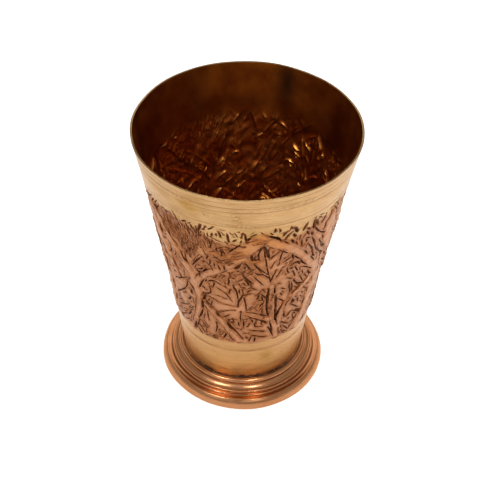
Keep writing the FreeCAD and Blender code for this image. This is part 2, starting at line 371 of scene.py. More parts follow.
# The bolder lines that stand along the branches.
BOLD_LINES = (
    (0.8, ((-41, 66), (-37.4, 63), (-34.6, 59.6), (-34.2, 56.4), (-36, 52.4))),
    (0.6, ((-36.2, 52), (-38, 47.4), (-40.6, 43), (-43, 38.4))),
    (0.65, ((-29.4, 57.4), (-29.8, 53), (-31, 49), (-34, 45))),
    (0.8, ((-37.6, 41.6), (-39.4, 38.4), (-41, 35.8))),
    (0.7, ((-30, 54.6), (-25.6, 52.2), (-21, 48.8), (-17, 45.6))),
    (0.75, ((-16.6, 45), (-13, 42), (-9.6, 38.6), (-6.6, 34.8))),
    (0.6, ((-12.6, 48.4), (-8, 44.4), (-4.4, 41.4))),
    (0.8, ((10.4, 94.4), (12.4, 90.6), (14.6, 86.4))),
    (0.6, ((7.6, 78.4), (11.4, 77.4), (16, 74.6))),
    (0.5, ((5.6, 84.6), (10.6, 80), (15.4, 76.4))),
    (0.75, ((-0.8, 77.4), (1.6, 75.4), (5.4, 72.6))),
    (0.6, ((0.2, 75.2), (2.4, 73.4), (3.6, 71.4))),
    (0.7, ((16.3, 66), (16.4, 60), (17, 55), (18.6, 50.6))),
    (0.6, ((1.6, 52.4), (5, 51.4), (10, 49.8), (15, 47.4), (19.4, 45.4))),
    (0.9, ((22.2, 63), (22.8, 57), (23.8, 52))),
    (1.0, ((23.6, 53), (24.2, 50), (24.7, 46.6))),
    (0.7, ((31, 51), (31.8, 48.6), (33.2, 46))),
    (0.8, ((33.4, 45.8), (36.4, 46.6), (39, 48.6))),
    (0.7, ((39, 48.4), (44, 46.4), (48.6, 44.2))),
    (0.9, ((50, 46), (45, 41.6), (41.4, 38.4), (39.6, 36.2))),
    (1.0, ((37, 56.2), (38.6, 53.6))),
    (0.9, ((42.2, 55.4), (44.2, 52.4))),
    (0.8, ((41, 91), (45, 86), (47.4, 82.4), (52, 78.6))),
    (0.7, ((52, 78.6), (56, 76.2), (60, 74))),
    (0.6, ((39, 88), (43, 84), (46, 80), (48.4, 77.2))),
    (0.8, ((25.4, 99.4), (23.6, 97.4), (22, 95.4))),
    (1.0, ((34.6, 101.6), (33.4, 99.4), (33, 97.4))),
    (0.9, ((39.4, 102), (39.8, 98.4), (40.6, 95.6))),
    (0.8, ((48.8, 99.6), (47, 97.6), (45.4, 96.2))),
    (0.9, ((-29.4, 57.4), (-27.6, 58.8), (-26.2, 61.4))),
    (0.6, ((-28, 62), (-27.2, 59), (-25.4, 56.8))),
    (0.7, ((-5.4, 81.2), (-3, 83.6), (-0.6, 85.2))),
    (0.7, ((0.2, 84.6), (2.2, 82.8), (4, 80.8))),
    (0.8, ((4.2, 90), (4.2, 87.6), (5.2, 86))),
    (0.8, ((5.2, 86), (7.4, 86.6), (9.2, 85.6))),
)

HAND_CUTS = (
    UPPER_LEAF + CENTRE_LEAF + LOWER_LEAF + LEFT_CELLS + MIDDLE_CELLS + RIGHT_CELLS + TOP_EDGE
    + BOLD_LINES
)

# Leaf bodies that stay smooth between their veins: centre and half sizes.
QUIET = (
    (-12, 58.5, 14, 10),
    (10, 44, 12, 9.5),
    (13, 80, 10, 12),
    (-50, 57, 10, 7),
    (38, 50, 7, 7),
    (-36, 79, 4, 6),
    (24, 55, 8, 18),
    (51, 92, 8, 8),
    (-35, 88, 11, 7),
    (-8, 88, 13, 6),
    (57, 60, 5, 20),
    (-24, 43, 5, 6),
    (5.5, 61.5, 3.4, 3.4),
)

# Patches of colour: centre, half sizes and strength. First golden to orange metal.
WARM = (
    (9, 98, 11, 5, 1.0),
    (-2, 91, 10, 6, 0.8),
    (-12, 89, 10, 6, 0.7),
    (10, 82, 8, 8, 0.45),
    (-34, 87, 11, 7, 1.0),
    (-36, 97, 14, 6, 0.6),
    (18, 94, 8, 4, 0.8),
    (-30, 111, 8, 7, 1.0),
    (-46, 111, 20, 9, 0.45),
    (-33, 108, 4, 2.4, 1.0),
    (-38, 105.6, 5, 1.6, 0.7),
    (-24, 115, 6, 3, 0.4),
    (21.5, 24, 5, 3.6, 1.0),
    (-3, 107, 5, 3, 0.35),
)

# Then brown tarnish, heavy where the strokes crowd together.
TARNISH = (
    (12, 64, 5, 5.5, 0.9),
    (-1, 82.5, 6, 3, 0.8),
    (6.5, 88, 4, 3, 0.7),
    (-14, 90.5, 7, 4, 0.7),
    (3, 73.6, 4, 3.4, 0.8),
    (-8, 73.6, 6, 3, 0.6),
    (29.5, 78.2, 3, 2, 1.0),
    (38.5, 55, 3, 2.2, 0.9),
    (43, 53, 2.4, 2, 0.8),
    (46.5, 81, 3, 3, 0.9),
    (-28, 75.6, 4, 3.6, 0.7),
    (-42.4, 53.6, 2.6, 2.6, 0.7),
    (20.6, 67, 2.4, 4, 0.9),
    (-21, 83, 3.4, 4.4, 0.8),
    (-23, 58, 5, 4, 0.6),
    (-39, 97, 12, 6, 0.85),
    (-34.5, 87.5, 8, 5.6, 1.0),
    (-26, 94, 4, 6, 0.5),
    (0, 47, 3, 4, 0.6),
    (31, 66, 3.6, 5, 0.7),
    (33, 99, 3, 3, 0.6),
    (40, 98.5, 3, 3.5, 0.7),
    (41.5, 39.5, 4, 3, 0.6),
    (31.4, 41, 2, 2.4, 0.8),
    (-30.5, 42, 3, 3, 0.5),
    (35, 62.5, 5, 2, 0.5),
    (25, 113.4, 26, 1.1, 0.5),
    (-32, 114.6, 9, 0.9, 0.6),
    (-2, 105.0, 18, 0.6, 0.6),
    (-36, 105.6, 5, 1.0, 0.6),
    (-19, 110.4, 1.8, 1.8, 1.0),
    (-4, 109.4, 3.0, 2.2, 0.9),
    (11.5, 118.2, 3.6, 0.3, 0.9),
    (0, 12.6, 14, 2.0, 0.5),
)

# Dark stains inside the cup.
INNER_STAINS = (
    (158, 112, 6, 9, 1.0),
    (176, 103, 16, 3, 0.35),
    (-150, 108, 7, 12, 0.35),
    (120, 100, 18, 16, 0.4),
    (-95, 104, 22, 12, 0.35),
    (196, 90, 5, 16, 0.3),
)

# The height to which the pale rim band comes down between the top cuts.
BAND_EDGE = (
    (-60, 100.6), (-50, 101.6), (-40, 101.6), (-30, 100.4), (-24, 99), (-20, 97.4), (-12, 95.8),
    (-2, 95.6), (2, 98), (5, 101.4), (10, 102), (14, 99.6), (19, 97), (26, 96), (32, 96.4),
    (38, 97.6), (44, 99), (52, 99.4), (60, 100.6),
)

FAN_TIP = (-34, 82.5)
FAN_MIDDLE = -38.5
FAN_REACH = 15.5
FAN_TOP = 101.5
FAN_RAYS = 25

# Finely brushed ground: centre, half sizes, lean of the strokes, and how many.
BRUSHED = (
    (-9, 88.5, 9, 4.5, 22, 34),
    (-34, 86.5, 5.5, 4.5, 84, 30),
    (-20, 92.5, 5, 3, 105, 12),
    (1, 79, 5, 2.6, 35, 14),
    (9, 97.5, 6, 1.6, 8, 8),
    (-44, 93, 7, 6, 118, 26),
    (-27, 79, 4, 5, 60, 12),
    (17, 58, 4, 8, 85, 16),
)

CUT_WIDTH = 1.62  # how much a struck cut opens beyond the chisel's own width
CUT_DEPTH = 0.38  # of a cut's width
BURR_RISE = 0.14
HALO = 1.6  # how far round a cut the metal is disturbed
BRANCH_RISE = 0.5
GROUND_STEP = 0.66
INNER_STEP = 0.85
INNER_EXTRA = 0.22  # a cut's ridge inside is wider than the cut by this on each side
COLUMNS = 240
FILLER_TRIES = 18000
GROOVE_DARKNESS = 0.18  # a scribed line next to a chiselled cut, which is 1


# ---------------------------------------------------------------- paths on the sleeve

def smoothstep(low, high, value):
    """0 below low, 1 above high, and a smooth rise between them."""
    share = np.clip((value - low) / (high - low), 0, 1)
    return share * share * (3 - 2 * share)


def sleeve_radius(z):
    """The sleeve's outside radius at a height, before any relief."""
    share = (z - SLEEVE_LOW) / (SLEEVE_TOP - SLEEVE_LOW)
    straight = SLEEVE_LOW_RADIUS + (RIM_RADIUS - SLEEVE_LOW_RADIUS) * share
    return straight - SLEEVE_SAG * 4 * share * (1 - share)


def warp(path):
    """Moves the design a little away from the front, so that its repeats differ."""
    turn = path[:, 0] / PATTERN_RADIUS
    strength = smoothstep(math.radians(62), math.radians(85), np.abs(turn))
    shift = 1.5 * np.sin(path[:, 1] / 7.3 + 1.3) + 0.9 * np.sin(2 * turn + 0.4)
    lift = 1.3 * np.sin(3 * turn + 1.0) + 0.8 * np.sin(5 * turn + 2.0)
    inside = smoothstep(BAND_LOW - 1, BAND_LOW + 8, path[:, 1])
    inside *= 1 - smoothstep(BAND_HIGH - 8, BAND_HIGH + 1, path[:, 1])
    return path + np.stack([strength * shift, strength * inside * lift], -1)


def design_path(places, copy):
    """One copy of a design line, flattened to mm."""
    turns = np.radians([angle + REPEAT_DEGREES * copy for angle, _ in places])
    heights = np.array([height for _, height in places], float)
    return warp(np.stack([turns * PATTERN_RADIUS, heights], -1))


def smooth_path(points, spacing):
    """Even points on a smooth curve through the given ones."""
    points = np.asarray(points, float)
    before = 2 * points[0] - points[1]
    after = 2 * points[-1] - points[-2]
    padded = np.vstack([before, points, after])
    run = []
    for a, b, c, d in zip(padded, padded[1:], padded[2:], padded[3:]):
        for t in np.linspace(0, 1, 9)[:-1]:
            run.append(
                b + 0.5 * t * (c - a + t * (2 * a - 5 * b + 4 * c - d + t * (3 * (b - c) + d - a)))
            )
    run = np.array(run + [points[-1]])
    along = np.concatenate([[0], np.cumsum(np.linalg.norm(np.diff(run, axis=0), axis=1))])
    count = max(3, int(round(along[-1] / spacing)) + 1)
    even = np.linspace(0, along[-1], count)
    return np.stack([np.interp(even, along, run[:, axis]) for axis in (0, 1)], -1)


def side_of(path):
    """The unit direction to the left of a path at each of its points."""
    ahead = np.gradient(path, axis=0)
    ahead /= np.linalg.norm(ahead, axis=1)[:, None] + 1e-9
    return np.stack([-ahead[:, 1], ahead[:, 0]], -1)


class Cut:
    """One chisel stroke: its path, and its half width and depth along it."""

    def __init__(self, points, width, skew=1.0, spacing=1.1):
        self.path = smooth_path(points, spacing)
        count = len(self.path)
        length = np.linalg.norm(np.diff(self.path, axis=0), axis=1).sum()
        share = np.linspace(0, 1, count) ** skew
        shape = np.clip(np.sin(np.pi * share) * (1 + length / 7), 0, 1) ** 0.75
        self.half = CUT_WIDTH * width / 2 * shape
        self.depth = CUT_DEPTH * CUT_WIDTH * width * shape

    def moved(self, shift):
        twin = object.__new__(Cut)
        twin.path = self.path + np.array([shift, 0.0])
        twin.half = self.half
        twin.depth = self.depth
        return twin

    def outlines(self, extra):
        """The two sides and the bottom of the stroke, from end to end."""
        reach = side_of(self.path) * (self.half[:, None] + extra)
        sides = [self.path + reach, self.path - reach, self.path.copy()]
        for side in sides:
            side[0] = self.path[0]
            side[-1] = self.path[-1]
        return sides


# ---------------------------------------------------------------- laying out the cuts

class Ground:
    """A fine map of the band, marking where metal is already cut or must stay smooth."""

    def __init__(self, cell):
        self.cell = cell
        self.wide = int(round(2 * HALF_TURN / cell))
        self.tall = int(round((SLEEVE_TOP - SLEEVE_LOW) / cell))
        self.taken = np.zeros((self.wide, self.tall), bool)

    def cells(self, points):
        across = np.floor((points[:, 0] + HALF_TURN) / self.cell).astype(int) % self.wide
        up = np.floor((points[:, 1] - SLEEVE_LOW) / self.cell).astype(int)
        return across, np.clip(up, 0, self.tall - 1)

    def mark(self, path, half, clearance):
        """Marks a path, as wide as half on each side plus a clearance."""
        fine = smooth_path(path, self.cell)
        reach = np.interp(np.linspace(0, 1, len(fine)), np.linspace(0, 1, len(half)), half)
        side = side_of(fine)
        steps = np.arange(-1, 1.001, 0.08)[:, None, None]
        spread = fine + steps * side * (reach + clearance)[:, None]
        self.taken[self.cells(spread.reshape(-1, 2))] = True

    def free(self, points):
        return 1 - self.taken[self.cells(points)].mean()


def branch_lines():
    """Every branch of every copy: its path and the half width along it."""
    lines = []
    for copy in COPIES:
        for branch in BRANCHES:
            line = design_path([place[:2] for place in branch], copy)
            path = smooth_path(line, 0.9)
            run = np.concatenate([[0], np.cumsum(np.linalg.norm(np.diff(line, axis=0), axis=1))])
            widths = np.interp(np.linspace(0, run[-1], len(path)), run, [place[2] for place in branch])
            lines.append((path, widths / 2))
    return lines


def strikes(points, width, draw):
    """A long line as it is chased: a row of overlapping chisel strikes."""
    path = smooth_path(points, 0.5)
    cuts = []
    first = 0
    while first < len(path) - 3:
        last = first + int(draw.integers(12, 19))
        if last > len(path) - 5:
            last = len(path) - 1
        places = path[[first, (first + last) // 2, last]] + draw.uniform(-0.06, 0.06, (3, 2))
        cuts.append(Cut(places, width * draw.uniform(0.82, 1.2), draw.uniform(0.7, 1.4)))
        first = last - 1 if last < len(path) - 1 else len(path)
    return cuts


def hand_cuts(draw):
    """The drawn lines of every copy, as rows of strikes."""
    cuts = []
    for copy in COPIES:
        for width, places in HAND_CUTS:
            cuts.extend(strikes(design_path(places, copy), width, draw))
    return cuts


def fan_cuts(draw):
    """The finely hatched leaf that hangs from the top edge, with a rounded tip."""
    cuts = []
    for copy in COPIES:
        for ray in range(FAN_RAYS):
            share = 2 * ray / (FAN_RAYS - 1) - 1
            start = np.array([FAN_MIDDLE + FAN_REACH * share, FAN_TOP + draw.uniform(-1.6, 1.4)])
            end = np.array([FAN_TIP[0] + 8.5 * share, FAN_TIP[1] + 7 * share * share])
            at = draw.uniform(0, 0.12)
            while at < 0.85:
                length = draw.uniform(0.14, 0.26)
                sway = draw.uniform(-0.6, 0.6)
                first = start + (end - start) * at
                last = start + (end - start) * min(at + length, 1) + (sway, 0)
                path = design_path([tuple(first), tuple(last)], copy)
                cuts.append(Cut(path, draw.uniform(0.28, 0.46) * (1.1 - at), draw.uniform(0.7, 1.3)))
                at += length + draw.uniform(0.02, 0.08)
    return cuts


def brushed_cuts(draw):
    """Thin shallow strokes, close together, that brush a patch of ground brown."""
    cuts = []
    for copy in COPIES:
        for angle, height, wide, tall, lean, count in BRUSHED:
            for _ in range(count):
                out = math.sqrt(draw.random())
                turn = draw.uniform(0, 2 * math.pi)
                centre = (angle + wide * out * math.cos(turn), height + tall * out * math.sin(turn))
                middle = design_path([centre], copy)[0]
                tilt = math.radians(lean + draw.uniform(-9, 9))
                run = draw.uniform(0.9, 2.2) * np.array([math.cos(tilt), math.sin(tilt)])
                bend = draw.uniform(-0.12, 0.12, 2)
                points = np.array([middle - run, middle + bend, middle + run])
                cuts.append(Cut(points, draw.uniform(0.17, 0.30), draw.uniform(0.7, 1.4), 1.3))
    return cuts


def edge_cuts(lines, ground, draw):
    """Lines chased along both edges of the branches, with gaps."""
    cuts = []
    for path, half in lines:
        for hand in (-1, 1):
            edge = path + hand * side_of(path) * (half[:, None] + 0.05)
            at = draw.uniform(0, 2)
            while at < len(edge) - 4:
                count = int(draw.uniform(4, 11))
                piece = edge[int(at): int(at) + count]
                if len(piece) > 3 and draw.random() < 0.85 and ground.free(piece) > 0.55:
                    cuts.append(Cut(piece[::2] if len(piece) > 5 else piece, draw.uniform(0.38, 0.62)))
                at += count + draw.uniform(0.5, 3)
    return cuts


def filler_cuts(ground, draw):
    """Short parallel or fanned strokes that texture whatever ground is left."""
    cuts = []
    for _ in range(FILLER_TRIES):
        centre = np.array([draw.uniform(-HALF_TURN, HALF_TURN), draw.uniform(BAND_LOW + 1.5, BAND_HIGH - 1)])
        if ground.free(centre[None]) < 1:
            continue
        lean = draw.uniform(0, math.pi)
        fan = draw.uniform(-0.35, 0.35)
        pitch = draw.uniform(0.82, 1.15)
        for step in range(-2, 3):
            turn = lean + fan * step
            along = np.array([math.cos(turn), math.sin(turn)])
            across = np.array([-math.sin(lean), math.cos(lean)])
            half = draw.uniform(0.9, 2.0)
            middle = centre + across * pitch * step + along * draw.uniform(-0.3, 0.3)
            bow = across * draw.uniform(-0.1, 0.1)
            points = np.array([middle - along * half, middle + bow, middle + along * half])
            cut = Cut(points, draw.uniform(0.3, 0.52), draw.uniform(0.6, 1.5), 1.3)
            inside = (cut.path[:, 1] > BAND_LOW) & (cut.path[:, 1] < BAND_HIGH)
            if inside.all() and ground.free(smooth_path(cut.path, 0.2)) > 0.93:
                ground.mark(cut.path, cut.half, 0.2)
                cuts.append(cut)
    return cuts


def all_cuts(lines):
    """Every cut: the drawn ones and the branch edges, and then the filling strokes."""
    draw = np.random.default_rng(SEED)
    ground = Ground(0.2)
    for path, half in lines:
        ground.mark(path, half, 0.1)
    brushed = brushed_cuts(draw)
    for cut in brushed:
        ground.mark(cut.path, cut.half, 0.1)
    cuts = hand_cuts(draw) + fan_cuts(draw)
    for cut in cuts:
        ground.mark(cut.path, cut.half, 0.35)
    edges_ground = Ground(0.2)
    for cut in cuts:
        edges_ground.mark(cut.path, cut.half, 0.25)
    edges = edge_cuts(lines, edges_ground, draw)
    for cut in edges:
        ground.mark(cut.path, cut.half, 0.3)
    for copy in COPIES:
        for angle, height, wide, tall in QUIET:
            for share in np.linspace(-0.95, 0.95, 15):
                reach = wide * math.sqrt(1 - share * share)
                row = height + tall * share
                ends = [(angle - reach, row), (angle, row), (angle + reach, row)]
                ground.mark(design_path(ends, copy), np.full(3, tall / 13), 0.0)
    return cuts + edges, brushed + filler_cuts(ground, draw)


def with_twins(cuts):
    """Adds, for each cut that reaches the back seam, its twin a whole turn away."""
    twins = []
    for cut in cuts:
        reach = cut.half.max() + HALO
        if cut.path[:, 0].max() + reach > HALF_TURN:
            twins.append(cut.moved(-2 * HALF_TURN))
        if cut.path[:, 0].min() - reach < -HALF_TURN:
            twins.append(cut.moved(2 * HALF_TURN))
    return cuts + twins


# ---------------------------------------------------------------- relief

def near_path(order, points, path, reach):
    """The points, given in order of place round the cup, that a path may reach."""
    spots = points[order, 0]
    first = np.searchsorted(spots, path[:, 0].min() - reach)
    last = np.searchsorted(spots, path[:, 0].max() + reach)
    near = order[first:last]
    heights = points[near, 1]
    inside = (heights > path[:, 1].min() - reach) & (heights < path[:, 1].max() + reach)
    return near[inside]


def along_path(points, path, values):
    """Each point's distance to a path, and the values interpolated there."""
    best = np.full(len(points), 1e9)
    found = np.zeros((len(points), values.shape[1]))
    for a, b, at_a, at_b in zip(path, path[1:], values, values[1:]):
        run = b - a
        share = np.clip((points - a) @ run / (run @ run + 1e-12), 0, 1)
        gap = np.linalg.norm(points - a - share[:, None] * run, axis=1)
        closer = gap < best
        best = np.where(closer, gap, best)
        here = at_a + share[:, None] * (at_b - at_a)
        found = np.where(closer[:, None], here, found)
    return best, found


def carve(points, cuts, widen):
    """At each point: depth of cut, share of the way in, height of burr, and crowding."""
    depth = np.zeros(len(points))
    cover = np.zeros(len(points))
    burr = np.zeros(len(points))
    crowd = np.zeros(len(points))
    order = np.argsort(points[:, 0])
    for cut in cuts:
        reach = cut.half.max() + widen + HALO
        near = near_path(order, points, cut.path, reach)
        if not len(near):
            continue
        gap, found = along_path(points[near], cut.path, np.stack([cut.half, cut.depth], -1))
        inside = np.clip(1 - gap / (found[:, 0] + widen + 1e-6), 0, 1)
        depth[near] = np.maximum(depth[near], found[:, 1] * inside)
        cover[near] = np.maximum(cover[near], inside)
        edge_gap = np.clip(gap - found[:, 0], 0, None)
        lip = np.exp(-((edge_gap / 0.22) ** 2)) * found[:, 0] / 0.4
        burr[near] = np.maximum(burr[near], np.clip(lip, 0, 1))
        crowd[near] += np.exp(-((edge_gap / 0.8) ** 2)) * cut.half.max()
    return depth, cover, burr * (cover < 0.05), crowd


def raise_branches(points, lines):
    """How high the rounded branches stand at each point."""
    rise = np.zeros(len(points))
    order = np.argsort(points[:, 0])
    for path, half in lines:
        near = near_path(order, points, path, half.max())
        if len(near):
            gap, found = along_path(points[near], path, half[:, None])
            dome = 1.35 * np.sqrt(np.clip(1 - (gap / found[:, 0]) ** 2, 0, 1))
            rise[near] = np.maximum(rise[near], BRANCH_RISE * np.minimum(dome, 1))
    return rise


def ripple(turn, height, finest, count, draw):
    """Smooth unevenness with no seam, about one unit from trough to crest."""
    total = np.zeros(len(turn))
    for _ in range(count):
        waves = draw.integers(0, int(2 * HALF_TURN / finest))
        climb = 2 * math.pi * draw.uniform(0.1, 1) / finest
        total += np.sin(waves * turn + climb * height * draw.choice([-1, 1]) + draw.uniform(0, 6.3))
    return total / math.sqrt(2 * count)


# ---------------------------------------------------------------- the sleeve's mesh

SCRIBE_HALF = 0.42
SCRIBE_DEPTH = 0.15


def plain_rows(scribed):
    """Heights of the mesh rows in the plain bands, close together at scribed lines."""
    low = np.linspace(SLEEVE_LOW, BAND_LOW - 1, 11)
    high = np.linspace(BAND_HIGH + 1, SLEEVE_TOP - 0.25, 7)
    rows = set(low.tolist() + high.tolist())
    for line in scribed:
        rows = {row for row in rows if abs(row - line) > 1 or row in (low[0], high[-1])}
        rows.update((line - SCRIBE_HALF, line, line + SCRIBE_HALF))
    return sorted(rows)


def clip_line(points, edges, start, end):
    """Adds a line to the mesh plan, cut off at the back seam."""
    low, high = (start, end) if start[0] <= end[0] else (end, start)
    if low[0] > HALF_TURN or high[0] < -HALF_TURN:
        return
    ends = []
    for place, other in ((low, high), (high, low)):
        if abs(place[0]) > HALF_TURN:
            edge = math.copysign(HALF_TURN, place[0])
            share = (edge - place[0]) / (other[0] - place[0])
            place = (edge, place[1] + share * (other[1] - place[1]))
        ends.append(place)
    edges.append((len(points), len(points) + 1))
    points.extend(ends)


def flat_plan(cuts, creases, guides, scribed, spacing, extra):
    """Triangulates an unrolled side; cuts keep their edges and bottoms, creases their bottoms.

    Guides are further lines that the triangles must follow.
    """
    points = []
    edges = []
    ground = Ground(0.17)
    for cut in cuts + creases:
        ground.mark(cut.path, cut.half + extra, 0.2)
    drawn = [side for cut in cuts for side in cut.outlines(extra)] + [cut.path for cut in creases]
    drawn += guides
    for side in drawn:
        for start, end in zip(side.tolist(), side[1:].tolist()):
            clip_line(points, edges, start, end)
    draw = np.random.default_rng(SEED + 1)
    rows = plain_rows(scribed)
    step = 2 * HALF_TURN / COLUMNS
    for row in rows:
        points.extend((-HALF_TURN + step * column, row) for column in range(COLUMNS + 1))
    band_rows = int((BAND_HIGH + 1 - (BAND_LOW - 1)) / (spacing * 0.866))
    band_rows = np.linspace(BAND_LOW - 1, BAND_HIGH + 1, band_rows)[1:-1]
    columns = int(2 * HALF_TURN / spacing)
    for index, row in enumerate(band_rows):
        across = -HALF_TURN + (np.arange(columns) + 0.5 * (index % 2) + 0.25) * 2 * HALF_TURN / columns
        spots = np.stack([across, np.full(columns, row)], -1)
        spots += draw.uniform(-0.12, 0.12, spots.shape)
        spots = spots[~ground.taken[ground.cells(spots)]]
        spots = spots[np.abs(spots[:, 0]) < HALF_TURN - 0.3]
        points.extend(map(tuple, spots.tolist()))
        points.extend(((-HALF_TURN, row), (HALF_TURN, row)))
    vectors = [Vector(point) for point in points]
    flat, _, faces, _, _, _ = delaunay_2d_cdt(vectors, edges, [], 0, 1e-4, False)
    return np.array([tuple(point) for point in flat]), faces


def rim_wave(turn, share):
    """The sleeve is a little out of round and its edge a little uneven, most at the rim."""
    out = share ** 3 * (0.22 * np.cos(2 * turn + 0.6) + 0.1 * np.cos(3 * turn + 2.0))
    out += share ** 6 * 0.06 * np.sin(11 * turn + 1.0)
    up = share ** 8 * (0.1 * np.sin(2 * turn + 1.0) + 0.05 * np.sin(7 * turn))
    return out, up - 0.15 * share ** 8


def wrap(turn, radius, z):
    """Places on the sleeve as points in metres."""
    share = np.clip((z - SLEEVE_LOW) / (SLEEVE_TOP - SLEEVE_LOW), 0, 1)
    out, up = rim_wave(turn, share)
    radius = (radius + out) * MM
    return np.stack([radius * np.sin(turn), -radius * np.cos(turn), (z + up) * MM], -1)


def band_share(turn, height):
    """1 in the chased band, 0 in the plain bands, with a hand-made upper edge."""
    third = math.radians(REPEAT_DEGREES)
    local = np.degrees((turn + third / 2) % third - third / 2)
    edge = np.interp(local, [angle for angle, _ in BAND_EDGE], [place for _, place in BAND_EDGE])
    edge += 0.5 * np.sin(17 * turn + 2.0) + 0.5 * np.sin(41 * turn)
    top = 1 - smoothstep(edge - 1.6, edge + 1.2, height)
    low = smoothstep(BAND_LOW - 0.5, BAND_LOW + 0.5, height + 0.25 * np.sin(9 * turn))
    return top * low


def patches_at(turn, height, patches, copies=COPIES):
    """How strongly any of the colour patches shows at each point."""
    total = np.zeros(len(turn))
    for copy in copies:
        for angle, middle, wide, tall, strength in patches:
            away = np.degrees(turn) - angle - REPEAT_DEGREES * copy
            away = (away + 180) % 360 - 180
            spot = strength * np.exp(-((away / wide) ** 2) - ((height - middle) / tall) ** 2)
            total = np.maximum(total, spot)
    return total


def sleeve_outside(cuts, lines):
    """Vertices, faces and surface facts of the chased outside."""
    sides = [path + hand * side_of(path) * half[:, None] for path, half in lines for hand in (-1, 1)]
    guides = [side[::2] for side in sides]
    flat, faces = flat_plan(cuts, [], guides, SCRIBED, GROUND_STEP, 0.0)
    turn = flat[:, 0] / PATTERN_RADIUS
    height = flat[:, 1]
    depth, cover, burr, crowd = carve(flat, cuts, 0.0)
    rise = raise_branches(flat, lines)
    draw = np.random.default_rng(SEED + 2)
    inside = smoothstep(BAND_LOW - 1, BAND_LOW + 2, height)
    inside *= 1 - smoothstep(BAND_HIGH - 3, BAND_HIGH + 1, height)
    lumps = 0.16 * ripple(turn, height, 4.0, 14, draw) + 0.12 * ripple(turn, height, 1.7, 18, draw)
    sunk = np.clip(crowd, 0, 1) * 0.12 * (rise == 0)
    relief = inside * (rise + lumps - sunk) - depth + BURR_RISE * burr
    relief += 0.03 * ripple(turn, height, 14.0, 8, draw)
    for line in SCRIBED:
        strength = 0.7 + 0.3 * np.sin(3 * turn + line) * np.sin(5 * turn + 2 * line)
        groove = strength * np.clip(1 - np.abs(height - line) / SCRIBE_HALF, 0, 1)
        relief -= SCRIBE_DEPTH * groove
        cover = np.maximum(cover, GROOVE_DARKNESS * groove)
    points = wrap(turn, sleeve_radius(height) + relief, height)
    facts = {
        "cut": cover,
        "crowd": np.clip(crowd / 0.6, 0, 1),
        # The burr along each cut, which the material also paints paler as a highlight.
        "lip": burr,
        "band": band_share(turn, height),
        "rise": rise / BRANCH_RISE,
        "warm": patches_at(turn, height, WARM),
        "tarnish": patches_at(turn, height, TARNISH),
    }
    return points, faces, facts


def sleeve_inside(bold_cuts, fine_cuts, lines):
    """The inner side, where the chasing shows through as softer ridges."""
    flat, faces = flat_plan(bold_cuts, fine_cuts, [], (), INNER_STEP, INNER_EXTRA)
    turn = flat[:, 0] / PATTERN_RADIUS
    height = flat[:, 1]
    depth, cover, _, _ = carve(flat, bold_cuts + fine_cuts, INNER_EXTRA)
    rise = raise_branches(flat, lines)
    draw = np.random.default_rng(SEED + 3)
    inside = smoothstep(BAND_LOW - 1, BAND_LOW + 4, height)
    inside *= 1 - smoothstep(BAND_HIGH - 9, BAND_HIGH - 2, height)
    lumps = 0.16 * ripple(turn, height, 4.0, 14, draw) + 0.1 * ripple(turn, height, 2.0, 18, draw)
    relief = inside * (0.9 * rise + lumps - 1.25 * depth)
    points = wrap(turn, sleeve_radius(height) - SHEET + relief, height)
    zero = np.zeros(len(points))
    facts = {
        # The ridges that the cuts push in, which the inside material paints brighter as glints.
        "cut": cover * inside,
        "crowd": zero,
        "lip": zero,
        "band": inside,
        "rise": zero,
        "warm": zero,
        "tarnish": patches_at(turn, height, INNER_STAINS, (0,)),
    }
    return points, faces, facts


def ring_faces(upper, lower):
    """Quads between two closed rings of vertex numbers, facing out."""
    count = len(upper)
    return [
        (lower[i], lower[(i + 1) % count], upper[(i + 1) % count], upper[i]) for i in range(count)
    ]


def make_sleeve():
    lines = branch_lines()
    bold_cuts, fine_cuts = all_cuts(lines)
    bold_cuts = with_twins(bold_cuts)
    fine_cuts = with_twins(fine_cuts)
    lines = lines + [(p + np.array([s * 2 * HALF_TURN, 0]), h) for p, h in lines for s in (-1, 1)]
    outside, outer_faces, outer_facts = sleeve_outside(bold_cuts + fine_cuts, lines)
    inside, inner_faces, inner_facts = sleeve_inside(bold_cuts, fine_cuts, lines)
    edge_turn = -math.pi + 2 * math.pi * np.arange(COLUMNS) / COLUMNS
    middle = np.full(COLUMNS, RIM_RADIUS - SHEET / 2)
    crest = wrap(edge_turn, middle, np.full(COLUMNS, SLEEVE_TOP))
    points = np.vstack([outside, inside, crest])
    first_inner = len(outside)
    first_crest = first_inner + len(inside)
    crest_ring = [first_crest + column for column in range(COLUMNS)]
    faces = [tuple(face) for face in outer_faces]
    faces += [tuple(first_inner + number for number in reversed(face)) for face in inner_faces]
    face_sides = [0] * len(outer_faces) + [1] * len(inner_faces)
    outer_top = edge_ring(outside, SLEEVE_TOP - 0.25, 0)
    inner_top = edge_ring(inside, SLEEVE_TOP - 0.25, first_inner)
    outer_low = edge_ring(outside, SLEEVE_LOW, 0)
    inner_low = edge_ring(inside, SLEEVE_LOW, first_inner)
    faces.extend(ring_faces(crest_ring, outer_top))
    faces.extend(ring_faces(inner_top, crest_ring))
    faces.extend(ring_faces(outer_low, inner_low))
    face_sides += [0] * (len(faces) - len(face_sides))
    mesh = bpy.data.meshes.new("chased_sleeve")
    mesh.from_pydata(points.tolist(), [], faces)
    for name in outer_facts:
        # The crest ring takes a tarnish value of 0.8, which makes the rim's top edge darker in patches.
        crest_fact = np.full(COLUMNS, 0.8 if name == "tarnish" else 0.0)
        values = np.concatenate([outer_facts[name], inner_facts[name], crest_fact])
        layer = mesh.attributes.new(name, "FLOAT", "POINT")
        layer.data.foreach_set("value", values.astype(np.float32))
    mesh.polygons.foreach_set("material_index", np.array(face_sides, np.int32))
    weld_seam(mesh)
    return finish_mesh("chased_sleeve", mesh, 38)


